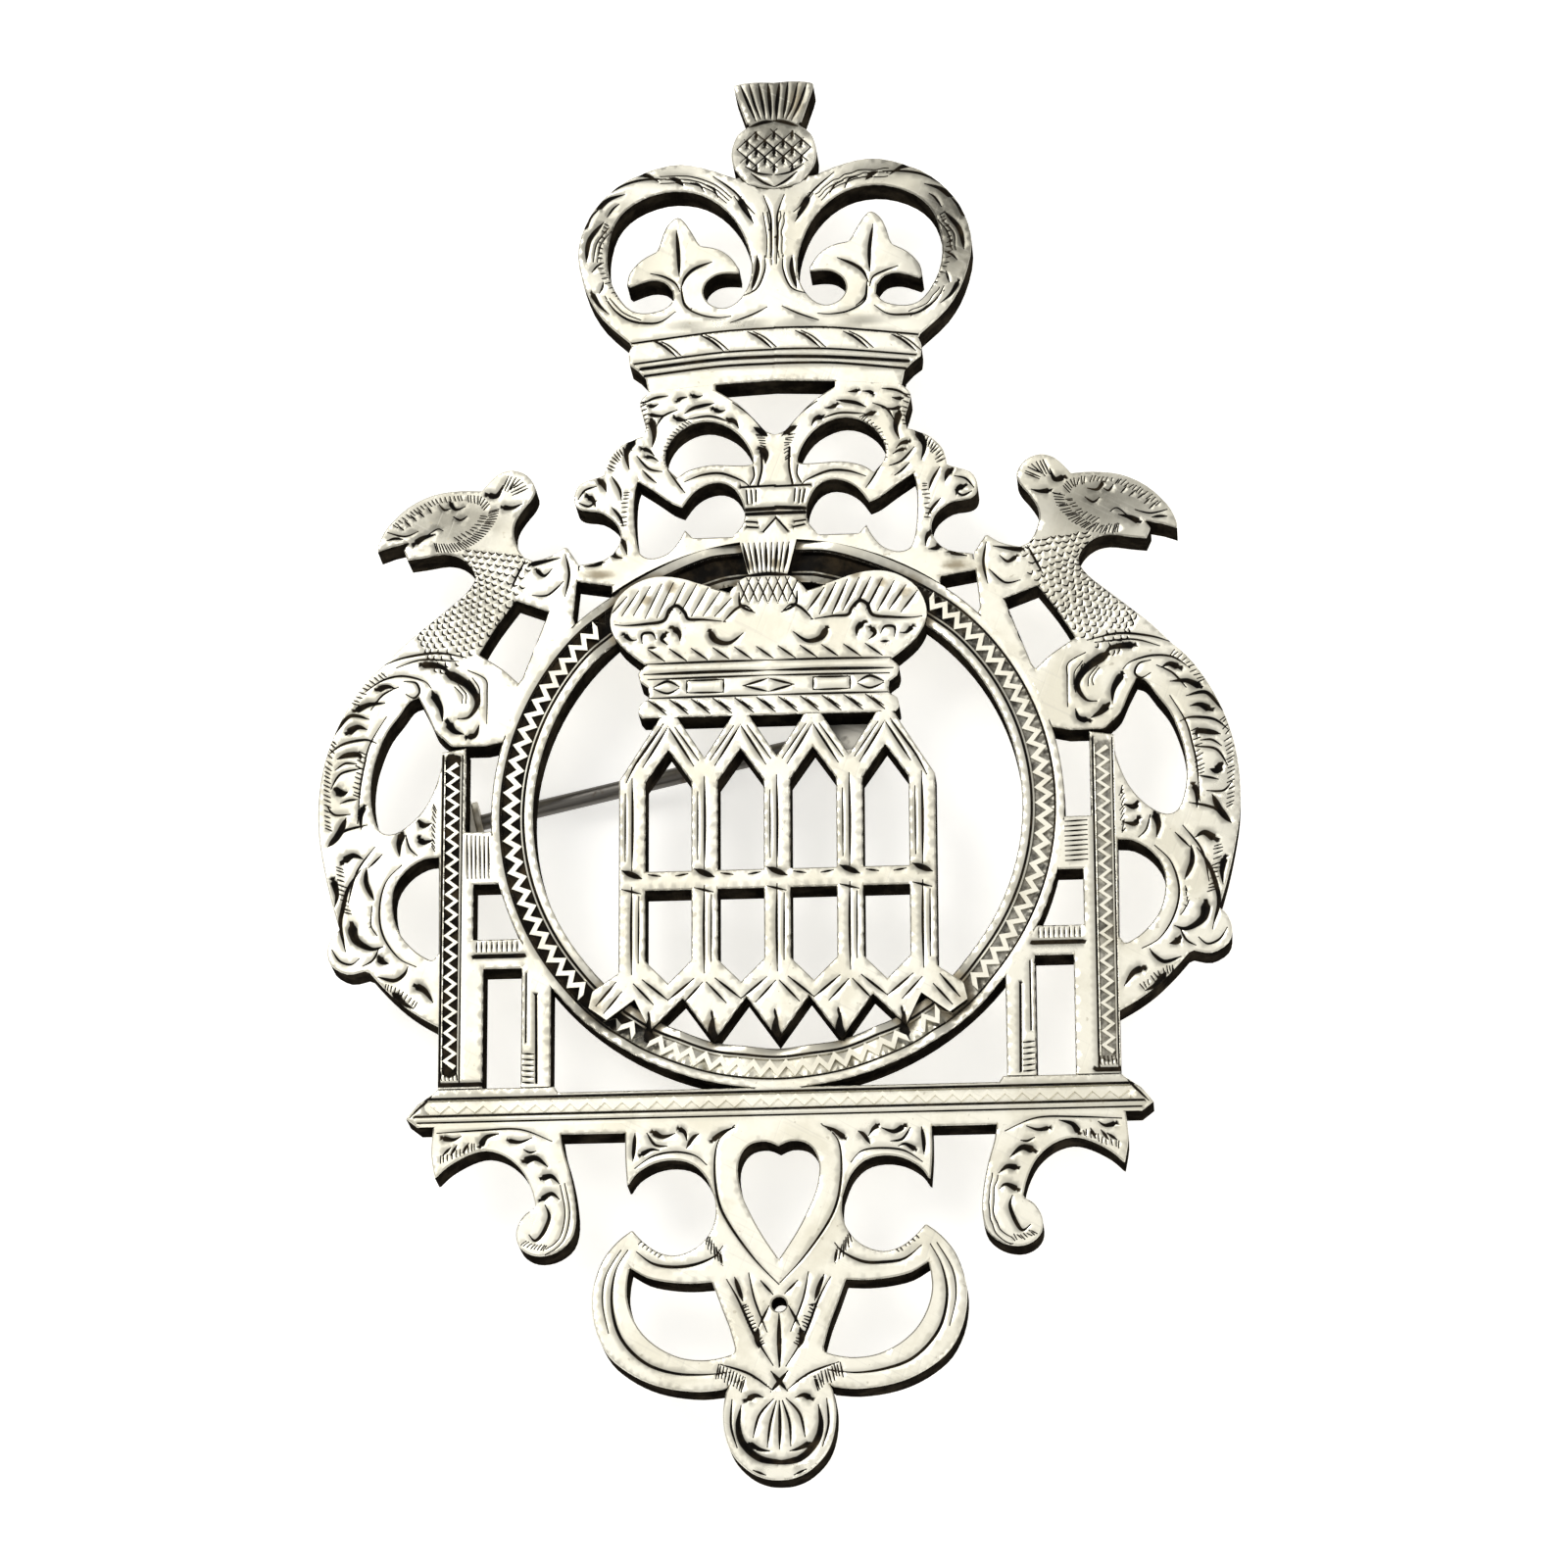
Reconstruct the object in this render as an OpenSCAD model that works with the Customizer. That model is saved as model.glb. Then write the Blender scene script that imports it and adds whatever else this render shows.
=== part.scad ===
// Pierced and engraved cap badge, lying face up, with a pin and a turning catch behind it.
// +Z points out of the face, +Y towards the crown, and the face is drawn about x = 0.

/* [Face plate] */
// Thickness of the pierced plate
plate_t = 2; // [1.6:0.1:2.4]
// Clear height under the plate, taken up by the pin fittings
standoff = 3; // [3:0.1:4]
// Outer radius of the ring
ring_r = 14.65; // [14.4:0.05:14.8]
// Width of the ring's band
ring_band = 2.15; // [1.8:0.05:2.3]
// How far the small crown sits to the left of the middle
small_crown_left = 0.4; // [0:0.1:0.6]

/* [Tracery] */
// Spacing of the upright bars inside the ring
bar_pitch = 3.7; // [3.5:0.05:3.8]
// Width of an upright bar
bar_w = 1.35; // [1:0.05:1.5]
// Width of the bar across the middle
cross_bar_w = 1; // [0.8:0.05:1.2]

/* [Pin] */
// Radius of the straight part of the pin
pin_r = 0.45; // [0.4:0.01:0.5]
// Distance from the pin's pivot to the middle of the catch
catch_reach = 21.2; // [20.8:0.1:21.5]
// Angle of the pin to the X axis
pin_angle = 12.5; // [11:0.5:14]
// Running clearance of the pivot and of the turning catch
running_gap = 0.05; // [0.03:0.01:0.08]

/* [Hidden] */

silver = [0.87, 0.86, 0.80];
steel = [0.70, 0.70, 0.70];

// The face is drawn with y = 0 at the ring's upright middle line, then moved so that
// the whole badge is centred.
drawing_y = -0.42;
ring_y = -2.45;          // height of the ring's centre in the drawing
ring_in_r = ring_r - ring_band;
bar_top = -16.75;        // top of the base bar under the pillars
bar_low = -18.72;        // underside of the base bar
strip_low = -19.25;      // underside of the bar's two short strips
pillar_left = -17.2;     // outer side of the left pillar

// Pin fittings
pin_z = 1.3;             // height of the pin's centre line
pivot = [4.2, 2.4];      // pin pivot, seen from the face
rivet_r = 0.35;
eye_r = 0.95;
eye_w = 1;
ear_r = 1.3;
ear_w = 0.7;
pad_t = 0.4;             // solder pads under the plate
root_r = 0.65;           // the pin's root, which narrows to the shaft
root_end = 2.4;          // distances along the pin from its pivot
shaft_end = 18;
neck_end = 22.4;
tip_end = 23.7;
rotor_r = 0.9;
catch_r = 1.3;
catch_w = 1.3;
flange_r = 1.12;
flange_w = 0.28;
slot_w = 0.86;

$fn = 48;

// ---- curves ----

// Point at fraction t of the span from p[i] to p[i + 1], on a smooth line through all of p
function spot(p, i, t) =
  let (a = p[max(i - 1, 0)], b = p[i], c = p[i + 1], d = p[min(i + 2, len(p) - 1)])
  0.5 * (2 * b + (c - a) * t + (2 * a - 5 * b + 4 * c - d) * t * t
    + (3 * b - a - 3 * c + d) * t * t * t);

// Points of the smooth line through p, both ends included
function smooth(p, steps = 3) =
  [for (i = [0 : len(p) - 2], k = [0 : steps - 1]) spot(p, i, k / steps), p[len(p) - 1]];

// Several smooth lines joined end to end, with a corner at each join
function joined(lines) = [for (line = lines, p = smooth(line)) p];

// A left half with its mirror image after it
function both(p) = concat(p, [for (i = [len(p) - 1 : -1 : 0]) [-p[i][0], p[i][1]]]);

// ---- placing ----

module plate() {
  color(silver) translate([0, drawing_y, standoff]) linear_extrude(plate_t) children();
}

module halves() {
  children();
  mirror([1, 0]) children();
}

// Frame of the pin: origin at the pivot, X towards the pin's tip, Z up
module pin_frame() {
  translate([pivot[0], pivot[1], pin_z]) rotate(180 + pin_angle) children();
}

// Cylinder along the pin's X axis, from a to b
module along(r, a, b) {
  translate([a, 0, 0]) rotate([0, 90, 0]) cylinder(r = r, h = b - a);
}

// Cylinder along the pivot, centred on it
module across(r, w) {
  rotate([90, 0, 0]) cylinder(r = r, h = w, center = true);
}

// ---- upper crown ----

module thistle_finial() {
  plate() {
    tuft = smooth([[-1.45, 35.55], [-1.8, 36.6], [-2.1, 37.6], [-1.9, 37.85], [-1, 37.95], [0, 37.9]]);
    bulb = smooth([[-1.35, 32.05], [-2.05, 32.9], [-2.25, 33.9], [-1.95, 34.9], [-1.35, 35.4], [-1.35, 35.55]]);
    polygon(concat(both(concat(bulb, tuft)), [[0, 31.75]]));
  }
}

module arch_hole() {
  polygon(joined([
    [[-5.3, 25.7], [-5.8, 25.2], [-6.9, 25], [-7.8, 25.4], [-8.6, 26.8], [-8.8, 28.4], [-8.4, 30.1],
      [-7.4, 31.2], [-5.8, 31.8], [-4.2, 31.7], [-2.9, 31], [-1.9, 29.8], [-1.35, 28.4], [-1.2, 27.2],
      [-1.45, 26.2], [-2, 25.45], [-2.7, 25.15], [-3.4, 25.4], [-3.75, 26], [-3.6, 26.6],
      [-3.1, 27], [-2.5, 27.1], [-1.85, 27.05]],
    [[-1.85, 27.3], [-2.3, 28], [-3, 28.5], [-3.9, 28.7]],
    [[-4.1, 29], [-4.6, 29.9], [-5.1, 30.35], [-5.7, 29.8], [-6.05, 28.75]],
    [[-6.2, 28.45], [-7, 28], [-7.6, 27.3], [-7.75, 26.6]],
    [[-7.6, 26.45], [-6.6, 26.8], [-5.8, 26.7], [-5.35, 26.2]]]));
}

module crown_arches() {
  plate() difference() {
    polygon(both(joined([
      [[0, 23.9], [-3, 23.75], [-5.2, 23.5], [-7.5, 23.15]],
      [[-7.6, 23.35], [-9, 24.7], [-9.9, 26.3], [-10.35, 28.3], [-10, 30], [-9.15, 31.4], [-7.7, 32.6],
        [-5.5, 33.35], [-3.8, 33.15], [-2.1, 32.5]]])));
    bulb_foot();
    halves() arch_hole();
  }
}

// Lower part of the thistle's bulb, which the arches close on
module bulb_foot() {
  polygon(both(smooth([[0, 31.75], [-1.35, 32.05], [-2.05, 32.9], [-2.25, 33.9]])));
}

module crown_circlet() {
  plate() polygon(both(joined([
    [[0, 21], [-3.1, 20.85], [-6.6, 20.55]],
    [[-6.75, 21.3], [-7.15, 21.75]],
    [[-7.6, 22.1], [-7.65, 22.7], [-7.5, 23.15]],
    [[-7.5, 23.15], [-5.2, 23.5], [-3, 23.75], [0, 23.9]]])));
}

// ---- neck between the crown and the ring ----

module neck_outline() {
  polygon(both(joined([
    [[0, 18], [-0.5, 18.2], [-1.1, 18.9], [-2, 19.8], [-3.1, 20.55]],
    [[-3.1, 20.85], [-6.6, 20.55]],
    [[-6.6, 20.55], [-7.05, 20.05], [-6.95, 19.4], [-6.75, 18.7], [-6.85, 18.1]],
    [[-7.1, 18.05], [-8, 17.65], [-8.7, 16.9], [-8.9, 16.05]],
    [[-9.1, 15.95], [-10.1, 15.6], [-10.45, 15], [-10.4, 14.4], [-10, 14.1], [-9.1, 13.95],
      [-8.35, 13.4], [-8.05, 12.7], [-8.2, 12], [-8.9, 11.35], [-10.2, 11.1]],
    [[-10.2, 11.1], [-10.3, 10.2]],
    [[-10.3, 10.2], [-8.5, 9.9]],
    [[-8.5, 9], [0, 9]]])));
}

module neck_scrolls() {
  plate() difference() {
    neck_outline();
    halves() {
      polygon(smooth([[-5.1, 15.75], [-5.65, 16.4], [-5.7, 17.2], [-5.2, 18.1], [-4.3, 18.7], [-3.3, 18.8],
        [-2.2, 18.3], [-1.5, 17.5], [-1.15, 16.6], [-1.35, 16.35], [-2.2, 16.35], [-3.4, 16.4],
        [-4.5, 16.15], [-5.1, 15.75]]));
      polygon(joined([
        [[-7.15, 15.6], [-6.2, 14.95], [-5.4, 14.35], [-4.85, 14.1]],
        [[-4.85, 14.1], [-4.3, 14.85], [-3.6, 15.3], [-2.8, 15.4], [-2.1, 15], [-1.65, 14.1],
          [-1.65, 13.2], [-2.1, 12.55]],
        [[-2.2, 12.4], [-3.2, 12.4], [-4.3, 12.4]],
        [[-4.7, 12.85], [-5.05, 12.2], [-5.6, 11.6], [-6.4, 11.35], [-7, 11.6], [-7.25, 12.5],
          [-7.35, 13.8], [-7.3, 15], [-7.15, 15.6]]]));
    }
    ring_disc();
    small_crown_outline();
  }
}

// ---- ring and what it holds ----

module ring_disc() {
  translate([0, ring_y]) circle(r = ring_r, $fn = 120);
}

module ring() {
  plate() difference() {
    ring_disc();
    translate([0, ring_y]) circle(r = ring_in_r, $fn = 120);
    small_crown_outline();
    tracery_outline();
  }
}

module small_crown_outline() {
  translate([-small_crown_left, 0]) polygon(both(joined([
    [[0, 2.65], [-3.4, 2.65], [-6.5, 2.65]],
    [[-6.7, 2.9], [-6.6, 3.4], [-6.2, 3.65]],
    [[-6.15, 3.95], [-6.2, 4.3]],
    [[-6.6, 4.6], [-6.7, 5.1], [-6.3, 5.5]],
    [[-6.7, 5.8], [-7.6, 6.6], [-8.1, 7.5], [-8.1, 8.4], [-7.65, 9.35], [-6.8, 10], [-5.8, 10.3],
      [-4.6, 10.2], [-3.4, 9.8], [-2, 9.35]],
    [[-1.9, 9.5], [-1.5, 9.95], [-1, 10.2]],
    [[-1, 10.25], [-1.5, 12.25]],
    [[-1.5, 12.3], [0, 12.4]]])));
}

module small_crown() {
  plate() small_crown_outline();
}

// Four lancets side by side: bars with pointed heads, a cross bar and a toothed foot
head_y = 2.65;      // peaks, under the small crown
shoulder_y = 0.45;  // where the heads meet above a bar
cross_y = -6.57;    // lower side of the cross bar
foot_y = -12.3;     // valleys of the toothed foot
tooth_y = -14.55;   // tips of its teeth

module lancet_light(x) {
  side = (bar_pitch - bar_w) / 2;
  upper = [[-side, -0.8], [0, 0.9], [side, -0.8]];
  lower = [[side, -10.3], [0, -11.5], [-side, -10.3]];
  translate([x, 0]) {
    polygon(concat(upper, [[side, cross_y + cross_bar_w], [-side, cross_y + cross_bar_w]]));
    polygon(concat(lower, [[-side, cross_y], [side, cross_y]]));
  }
}

module tracery_outline() {
  half_w = 2 * bar_pitch + bar_w / 2;
  peak_w = 0.45;
  side_peak = 1.5 * bar_pitch;
  polygon(both([
    [0, shoulder_y], [-bar_pitch / 2 + peak_w, head_y], [-bar_pitch / 2 - peak_w, head_y],
    [-bar_pitch, shoulder_y], [-side_peak + peak_w, head_y], [-side_peak - peak_w, head_y],
    [-half_w, -0.7], [-half_w, -10.9], [-half_w - 1.3, -11.8], [-half_w - 1.5, -12.7], [-half_w - 0.6, -13.35],
    [-side_peak - 1.7, foot_y], [-1.75 * bar_pitch, tooth_y + 0.6],
    [-1.3 * bar_pitch, foot_y], [-0.87 * bar_pitch, tooth_y],
    [-0.43 * bar_pitch, foot_y], [0, tooth_y]]));
}

module tracery_panel() {
  plate() difference() {
    tracery_outline();
    for (i = [-1.5 : 1.5]) lancet_light(i * bar_pitch);
  }
}

// ---- supporters: a beaked head on a scaled neck, over scrolled leaves ----

module supporter_outline() {
  polygon(joined([
    [[-20.7, 12.15], [-20.65, 12.6], [-20.2, 13.5], [-19.15, 14.55], [-17.85, 15.2], [-16.4, 15.4], [-15.3, 15.35]],
    [[-15.1, 15.6], [-14.45, 16.25], [-13.7, 16.45], [-12.95, 16.15], [-12.5, 15.45], [-12.65, 14.85],
      [-13.15, 14.2], [-13.55, 13.5], [-13.6, 12.8], [-13.35, 12.05], [-13.05, 11.6]],
    [[-12.6, 11.4], [-11.8, 11.6], [-11.3, 11.85], [-10.95, 12.1]],
    [[-10.8, 12.05], [-10.2, 11.1]],
    [[-10.3, 10.2], [-10.5, 8.2]],
    [[-9, 4], [-12, -12], [-17, -14]],
    [[-17.2, -13.5], [-18.15, -12.95], [-19.05, -12.3], [-20, -11.4], [-20.75, -10.55]],
    [[-21, -10.45], [-21.9, -10.6], [-22.75, -10.1], [-22.95, -9.3], [-22.7, -8.6], [-22.4, -8.3]],
    [[-22.35, -8.2], [-22.8, -6.7], [-23.2, -5], [-23.5, -3.2], [-23.55, -1.4], [-23.35, 0.3],
      [-22.95, 1.8], [-22.35, 3.2], [-21.65, 4.4], [-20.95, 5.3], [-20.2, 6], [-19.3, 6.95],
      [-18.2, 7.9], [-17, 8.9], [-16.05, 9.75], [-15.6, 10.5], [-15.8, 11.15], [-16.4, 11.7],
      [-17.2, 11.9], [-18.3, 11.75], [-19.1, 11.65]],
    [[-19.35, 12.2], [-19.1, 12.55]],
    [[-19.1, 12.6], [-20, 12.4]]]));
}

module supporter_holes() {
  // gap behind the neck
  polygon(joined([
    [[-13.45, 9.25], [-11.75, 8.6]],
    [[-11.75, 8.6], [-13.1, 5]],
    [[-13.3, 4.75], [-14.15, 5.55], [-15.35, 6.35]],
    [[-15.35, 6.35], [-14.5, 7.8], [-13.45, 9.25]]]));
  // light inside the body's curve
  polygon(smooth([[-18.45, 4.1], [-18, 3.2], [-17.6, 2.3], [-17.1, 1.7], [-17.15, 1], [-17.3, 0], [-17.75, -1.3],
    [-18.4, -2.3], [-19.3, -3.05], [-20.05, -3.2], [-20.55, -2.7], [-20.85, -1.4], [-20.8, 0],
    [-20.5, 1.2], [-20.05, 2.3], [-19.4, 3.2], [-18.9, 3.9], [-18.45, 4.1]]));
  // light above the tail
  polygon(joined([
    [[-17.3, -4.5], [-18.1, -4.6], [-19, -5.2], [-19.6, -6.2], [-19.6, -7.5], [-19.2, -8.6],
      [-18.4, -9.5], [-17.7, -9.95]],
    [[-17.5, -9.95], [-17.25, -9.6]]]));
  // gap between the scroll's knob, the pillar and the ring
  polygon(concat(smooth([[-17.2, 1.9], [-16.6, 1.35], [-15.9, 1.2], [-15.2, 1.35], [-14, 1.6]]),
    [[-14, -9], [-17.2, -9]]));
}

module half_supporter() {
  difference() {
    supporter_outline();
    supporter_holes();
    ring_disc();
    translate([pillar_left, -20]) square([10, 21.4]);
    translate([-10.25, 8.7]) square([4, 4]);
  }
}

module left_supporter() {
  plate() half_supporter();
}

module right_supporter() {
  plate() mirror([1, 0]) half_supporter();
}

// ---- pillars, each with its blocks, cross bar and inner leg ----

module half_pillar() {
  difference() {
    polygon([[pillar_left, 1.1], [-15.95, 1.3], [-15.95, -3.2], [-14, -3.2], [-14, -6], [-15.5, -6],
      [-15.5, -8.95], [-11.5, -8.95], [-11.5, bar_top], [-13, bar_top], [-13, -10.5], [-14.95, -10.5],
      [-14.95, bar_top], [pillar_left, bar_top]]);
    ring_disc();
  }
}

module left_pillar() {
  plate() half_pillar();
}

module right_pillar() {
  plate() mirror([1, 0]) half_pillar();
}

// ---- base bar and what hangs from it ----

module base_bar() {
  plate() difference() {
    polygon(both([[0, bar_top], [-11.3, bar_top], [-17.2, bar_top], [-17.4, -16.95], [-18.2, -17.5],
      [-18.8, -18.25], [-18.2, bar_low], [-10.95, bar_low], [-10.95, strip_low], [-7.7, strip_low],
      [-7.7, bar_low]]));
    halves() polygon([[-11.1, -15], [-11.3, bar_top], [-11.1, -17.05], [0, -17.05], [0, -15]]);
    ring_disc();
  }
}

module half_leaf_scroll() {
  polygon(joined([
    [[-10.95, bar_low], [-17.4, bar_low]],
    [[-17.45, -19.2], [-17.5, -20.2], [-17.3, -21.35]],
    [[-17.2, -21.3], [-16.6, -20.75], [-15.6, -20.2], [-14.7, -20], [-13.75, -20.3], [-12.95, -21],
      [-12.45, -21.95], [-12.2, -22.9]],
    [[-12.3, -23.05], [-12.8, -23.4], [-13.15, -24.1], [-13.1, -24.8], [-12.65, -25.3], [-11.95, -25.5],
      [-11.1, -25.3], [-10.4, -24.7], [-10.15, -23.7], [-10.25, -22.4], [-10.5, -21.15],
      [-10.8, -20.1], [-10.95, strip_low]]]));
}

module left_leaf_scroll() {
  plate() half_leaf_scroll();
}

module right_leaf_scroll() {
  plate() mirror([1, 0]) half_leaf_scroll();
}

// Outer edge of the heart below its brackets
heart_edge = [[-3.2, -22.75], [-2.85, -23.7], [-2.2, -24.9], [-1.3, -26.15], [0, -27.4]];

module heart_frame() {
  plate() difference() {
    polygon(both(joined([
      [[0, bar_low], [-7.7, bar_low]],
      [[-7.7, strip_low], [-7.7, -20.6], [-7.6, -21.95]],
      [[-7.5, -21.9], [-7.1, -21.35], [-6.25, -20.85], [-5.25, -20.7], [-4.3, -20.95], [-3.6, -21.7],
        [-3.2, -22.75]],
      heart_edge])));
    halves() polygon(smooth([[0, -20.1], [-0.6, -19.85], [-1.35, -19.95], [-1.85, -20.45], [-2.05, -21.3],
      [-1.85, -22.5], [-1.3, -23.75], [-0.75, -24.75], [0, -25.9]]));
  }
}

module crescent_shield() {
  plate() difference() {
    polygon(both(joined([
      [for (i = [len(heart_edge) - 1 : -1 : 0]) heart_edge[i]],
      [[-3.2, -22.75], [-3.15, -23.5], [-3.35, -24.3], [-3.8, -24.95], [-4.45, -25.4], [-5.25, -25.6],
        [-6.05, -25.4], [-6.75, -24.9], [-7.3, -24.3]],
      [[-7.4, -24.3], [-8.1, -24.85], [-8.8, -25.75], [-9.25, -27], [-9.35, -28.2], [-9.1, -29.5],
        [-8.5, -30.65], [-7.6, -31.45], [-6.5, -32.05], [-5.3, -32.4], [-3.9, -32.55], [-2.7, -32.45]],
      [[-2.5, -32.3], [-1.2, -31.9], [0, -32.9]]])));
    halves() polygon(joined([
      [[-7.45, -26.2], [-6.6, -26.7], [-5.55, -26.95], [-4.4, -27.05], [-3.35, -27]],
      [[-3.3, -27.1], [-2.95, -28.1], [-2.5, -29.3], [-2.2, -30.4]],
      [[-2.25, -30.65], [-2.9, -30.85], [-3.8, -30.95], [-4.9, -30.8], [-5.95, -30.3], [-6.8, -29.55],
        [-7.35, -28.6], [-7.6, -27.6], [-7.55, -26.7]]]));
    translate([0, -28.2]) circle(r = 0.38, $fn = 24);
  }
}

module drop_roundel() {
  plate() polygon(both(joined([
    [[0, -32.9], [-1.2, -31.9], [-2.5, -32.3]],
    [[-2.65, -32.6], [-2.8, -33.5], [-2.75, -34.5], [-2.5, -35.4], [-2.05, -36.1], [-1.35, -36.7],
      [-0.6, -37], [0, -37.05]]])));
}

// ---- pin, hinge and catch ----

// Two ears on a pad soldered to the back of the plate
module hinge_block() {
  ear_mid = eye_w / 2 + running_gap + ear_w / 2;
  pad = 2 * ear_mid + ear_w + 0.2;
  color(silver) pin_frame() difference() {
    union() {
      translate([-1.7, -pad / 2, standoff - pin_z - pad_t]) cube([3.4, pad, pad_t]);
      for (side = [-1, 1]) translate([0, side * ear_mid, 0]) {
        across(ear_r, ear_w);
        translate([-ear_r, -ear_w / 2, 0]) cube([2 * ear_r, ear_w, standoff - pin_z - pad_t]);
      }
    }
    across(rivet_r, 4 * eye_w);
  }
}

module hinge_rivet() {
  head_w = 0.2;
  reach = eye_w + 2 * running_gap + 2 * ear_w;
  color(steel) pin_frame() {
    across(rivet_r, reach);
    for (side = [-1, 1]) translate([0, side * (reach + head_w) / 2, 0]) across(1.6 * rivet_r, head_w);
  }
}

module pin_stem() {
  color(steel) pin_frame() difference() {
    union() {
      across(eye_r, eye_w);
      rotate([90, 0, 90]) rotate_extrude() {
        polygon([[0, 0], [root_r, 0], [pin_r, root_end], [pin_r, shaft_end], [0.8 * pin_r, neck_end],
          [0.06, tip_end], [0, tip_end]]);
      }
    }
    across(rivet_r + running_gap, 2 * eye_w);
    for (side = [-1, 1]) translate([0, side * eye_w, 0]) {
      translate([-2, -eye_w / 2, -2]) cube([4, eye_w, 4]);
    }
  }
}

// Wedge of the catch's mouth, open downwards
module catch_mouth(w) {
  translate([catch_reach - 2, -w / 2, -2]) cube([4, w, 2]);
}

module catch_body() {
  half = catch_w / 2;
  color(silver) pin_frame() difference() {
    union() {
      along(catch_r, catch_reach - half, catch_reach + half);
      translate([catch_reach - half, -0.8, 0.5]) cube([catch_w, 1.6, standoff - pin_z - 0.5]);
      translate([catch_reach - half, -2, standoff - pin_z - pad_t]) cube([catch_w, 4, pad_t]);
    }
    along(rotor_r + running_gap, catch_reach - catch_w, catch_reach + catch_w);
    catch_mouth(2 * pin_r + 0.2);
  }
}

// Slotted barrel with a flange at each end, and a small thumb tab
module catch_rotor() {
  half = catch_w / 2 + running_gap;
  color(silver) pin_frame() difference() {
    union() {
      along(rotor_r, catch_reach - half - flange_w, catch_reach + half + flange_w);
      for (side = [-1, 1]) {
        mid = catch_reach + side * (half + flange_w / 2);
        along(flange_r, mid - flange_w / 2, mid + flange_w / 2);
      }
      translate([catch_reach + half, 0, -0.3]) cube([flange_w, 1.9, 0.6]);
      translate([catch_reach + half, 1.9, 0]) along(0.38, 0, flange_w);
    }
    along(slot_w / 2, catch_reach - 2, catch_reach + 2);
    catch_mouth(slot_w);
  }
}

thistle_finial();
crown_arches();
crown_circlet();
neck_scrolls();
ring();
small_crown();
tracery_panel();
left_supporter();
right_supporter();
left_pillar();
right_pillar();
base_bar();
left_leaf_scroll();
right_leaf_scroll();
heart_frame();
crescent_shield();
drop_roundel();
hinge_block();
hinge_rivet();
pin_stem();
catch_body();
catch_rotor();
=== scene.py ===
import math
import random

import bpy
import bmesh
import numpy as np
from mathutils import Matrix, Vector
from mathutils.geometry import delaunay_2d_cdt


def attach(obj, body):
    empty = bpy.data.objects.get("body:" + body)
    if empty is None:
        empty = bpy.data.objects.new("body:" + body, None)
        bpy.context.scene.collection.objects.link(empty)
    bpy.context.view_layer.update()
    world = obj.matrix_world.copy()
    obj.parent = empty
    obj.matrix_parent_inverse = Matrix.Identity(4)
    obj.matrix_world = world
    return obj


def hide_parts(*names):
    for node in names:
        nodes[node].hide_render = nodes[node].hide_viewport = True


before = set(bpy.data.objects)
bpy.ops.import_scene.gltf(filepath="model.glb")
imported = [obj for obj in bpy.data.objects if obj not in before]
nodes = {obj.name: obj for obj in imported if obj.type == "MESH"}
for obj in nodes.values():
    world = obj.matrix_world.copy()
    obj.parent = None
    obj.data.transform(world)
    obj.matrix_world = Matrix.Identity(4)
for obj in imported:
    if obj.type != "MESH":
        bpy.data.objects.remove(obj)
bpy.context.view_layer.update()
random.seed(11)
print("frame loaded:", len(nodes), "nodes")

mm = 0.001
drawingY = -0.42    # the engraving is laid out in the drawing's own y, in mm


# small wrapper for shader maths

class Socket:
    def __init__(self, graph, out):
        self.graph, self.out = graph, out

    def calc(self, operation, a, b):
        return self.graph.add("ShaderNodeMath", {"operation": operation}, {0: a, 1: b})

    def __add__(self, other):
        return self.calc("ADD", self, other)

    def __radd__(self, other):
        return self.calc("ADD", other, self)

    def __sub__(self, other):
        return self.calc("SUBTRACT", self, other)

    def __rsub__(self, other):
        return self.calc("SUBTRACT", other, self)

    def __mul__(self, other):
        return self.calc("MULTIPLY", self, other)

    def __rmul__(self, other):
        return self.calc("MULTIPLY", other, self)


class Graph:
    def __init__(self, name):
        self.material = bpy.data.materials.new(name)
        self.material.use_nodes = True
        self.tree = self.material.node_tree
        self.tree.nodes.clear()

    def add(self, kind, settings, values, output=0):
        node = self.tree.nodes.new(kind)
        for key, value in settings.items():
            setattr(node, key, value)
        for key, value in values.items():
            if isinstance(value, Socket):
                self.tree.links.new(value.out, node.inputs[key])
            else:
                node.inputs[key].default_value = value
        return Socket(self, node.outputs[output]) if len(node.outputs) else None

    def step(self, value, low, high):
        # smooth 0 to 1 between low and high
        return self.add("ShaderNodeMapRange", {"interpolation_type": "SMOOTHSTEP"},
                        {"Value": value, "From Min": low, "From Max": high})

    def noise(self, vector, scale, detail=3.0, rough=0.5):
        return self.add("ShaderNodeTexNoise", {},
                        {"Vector": vector, "Scale": scale, "Detail": detail, "Roughness": rough})

    def mix(self, factor, a, b):
        node = self.tree.nodes.new("ShaderNodeMix")
        node.data_type = "RGBA"
        for socket, value in ((node.inputs[0], factor), (node.inputs[6], a), (node.inputs[7], b)):
            if isinstance(value, Socket):
                self.tree.links.new(value.out, socket)
            else:
                socket.default_value = value
        return Socket(self, node.outputs[2])

    def stretched(self, vector, factors, turn=(0, 0, 0)):
        turned = self.add("ShaderNodeMapping", {}, {"Vector": vector, "Rotation": turn})
        return self.add("ShaderNodeVectorMath", {"operation": "MULTIPLY"},
                        {0: turned, 1: factors})

    def finish(self, color, metallic, roughness, normal=None, glow=0.0, sheen=0.5):
        values = {"Base Color": color, "Metallic": metallic, "Roughness": roughness,
                  "Specular IOR Level": sheen}
        if glow:
            # painted light: the pale paper glows by itself, so that shadows on it stay soft
            values["Emission Color"], values["Emission Strength"] = color, glow
        if normal is not None:
            values["Normal"] = normal
        shader = self.add("ShaderNodeBsdfPrincipled", {}, values)
        self.add("ShaderNodeOutputMaterial", {}, {"Surface": shader})
        return self.material


def rgb(red, green, blue):
    return (red, green, blue, 1.0)


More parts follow.
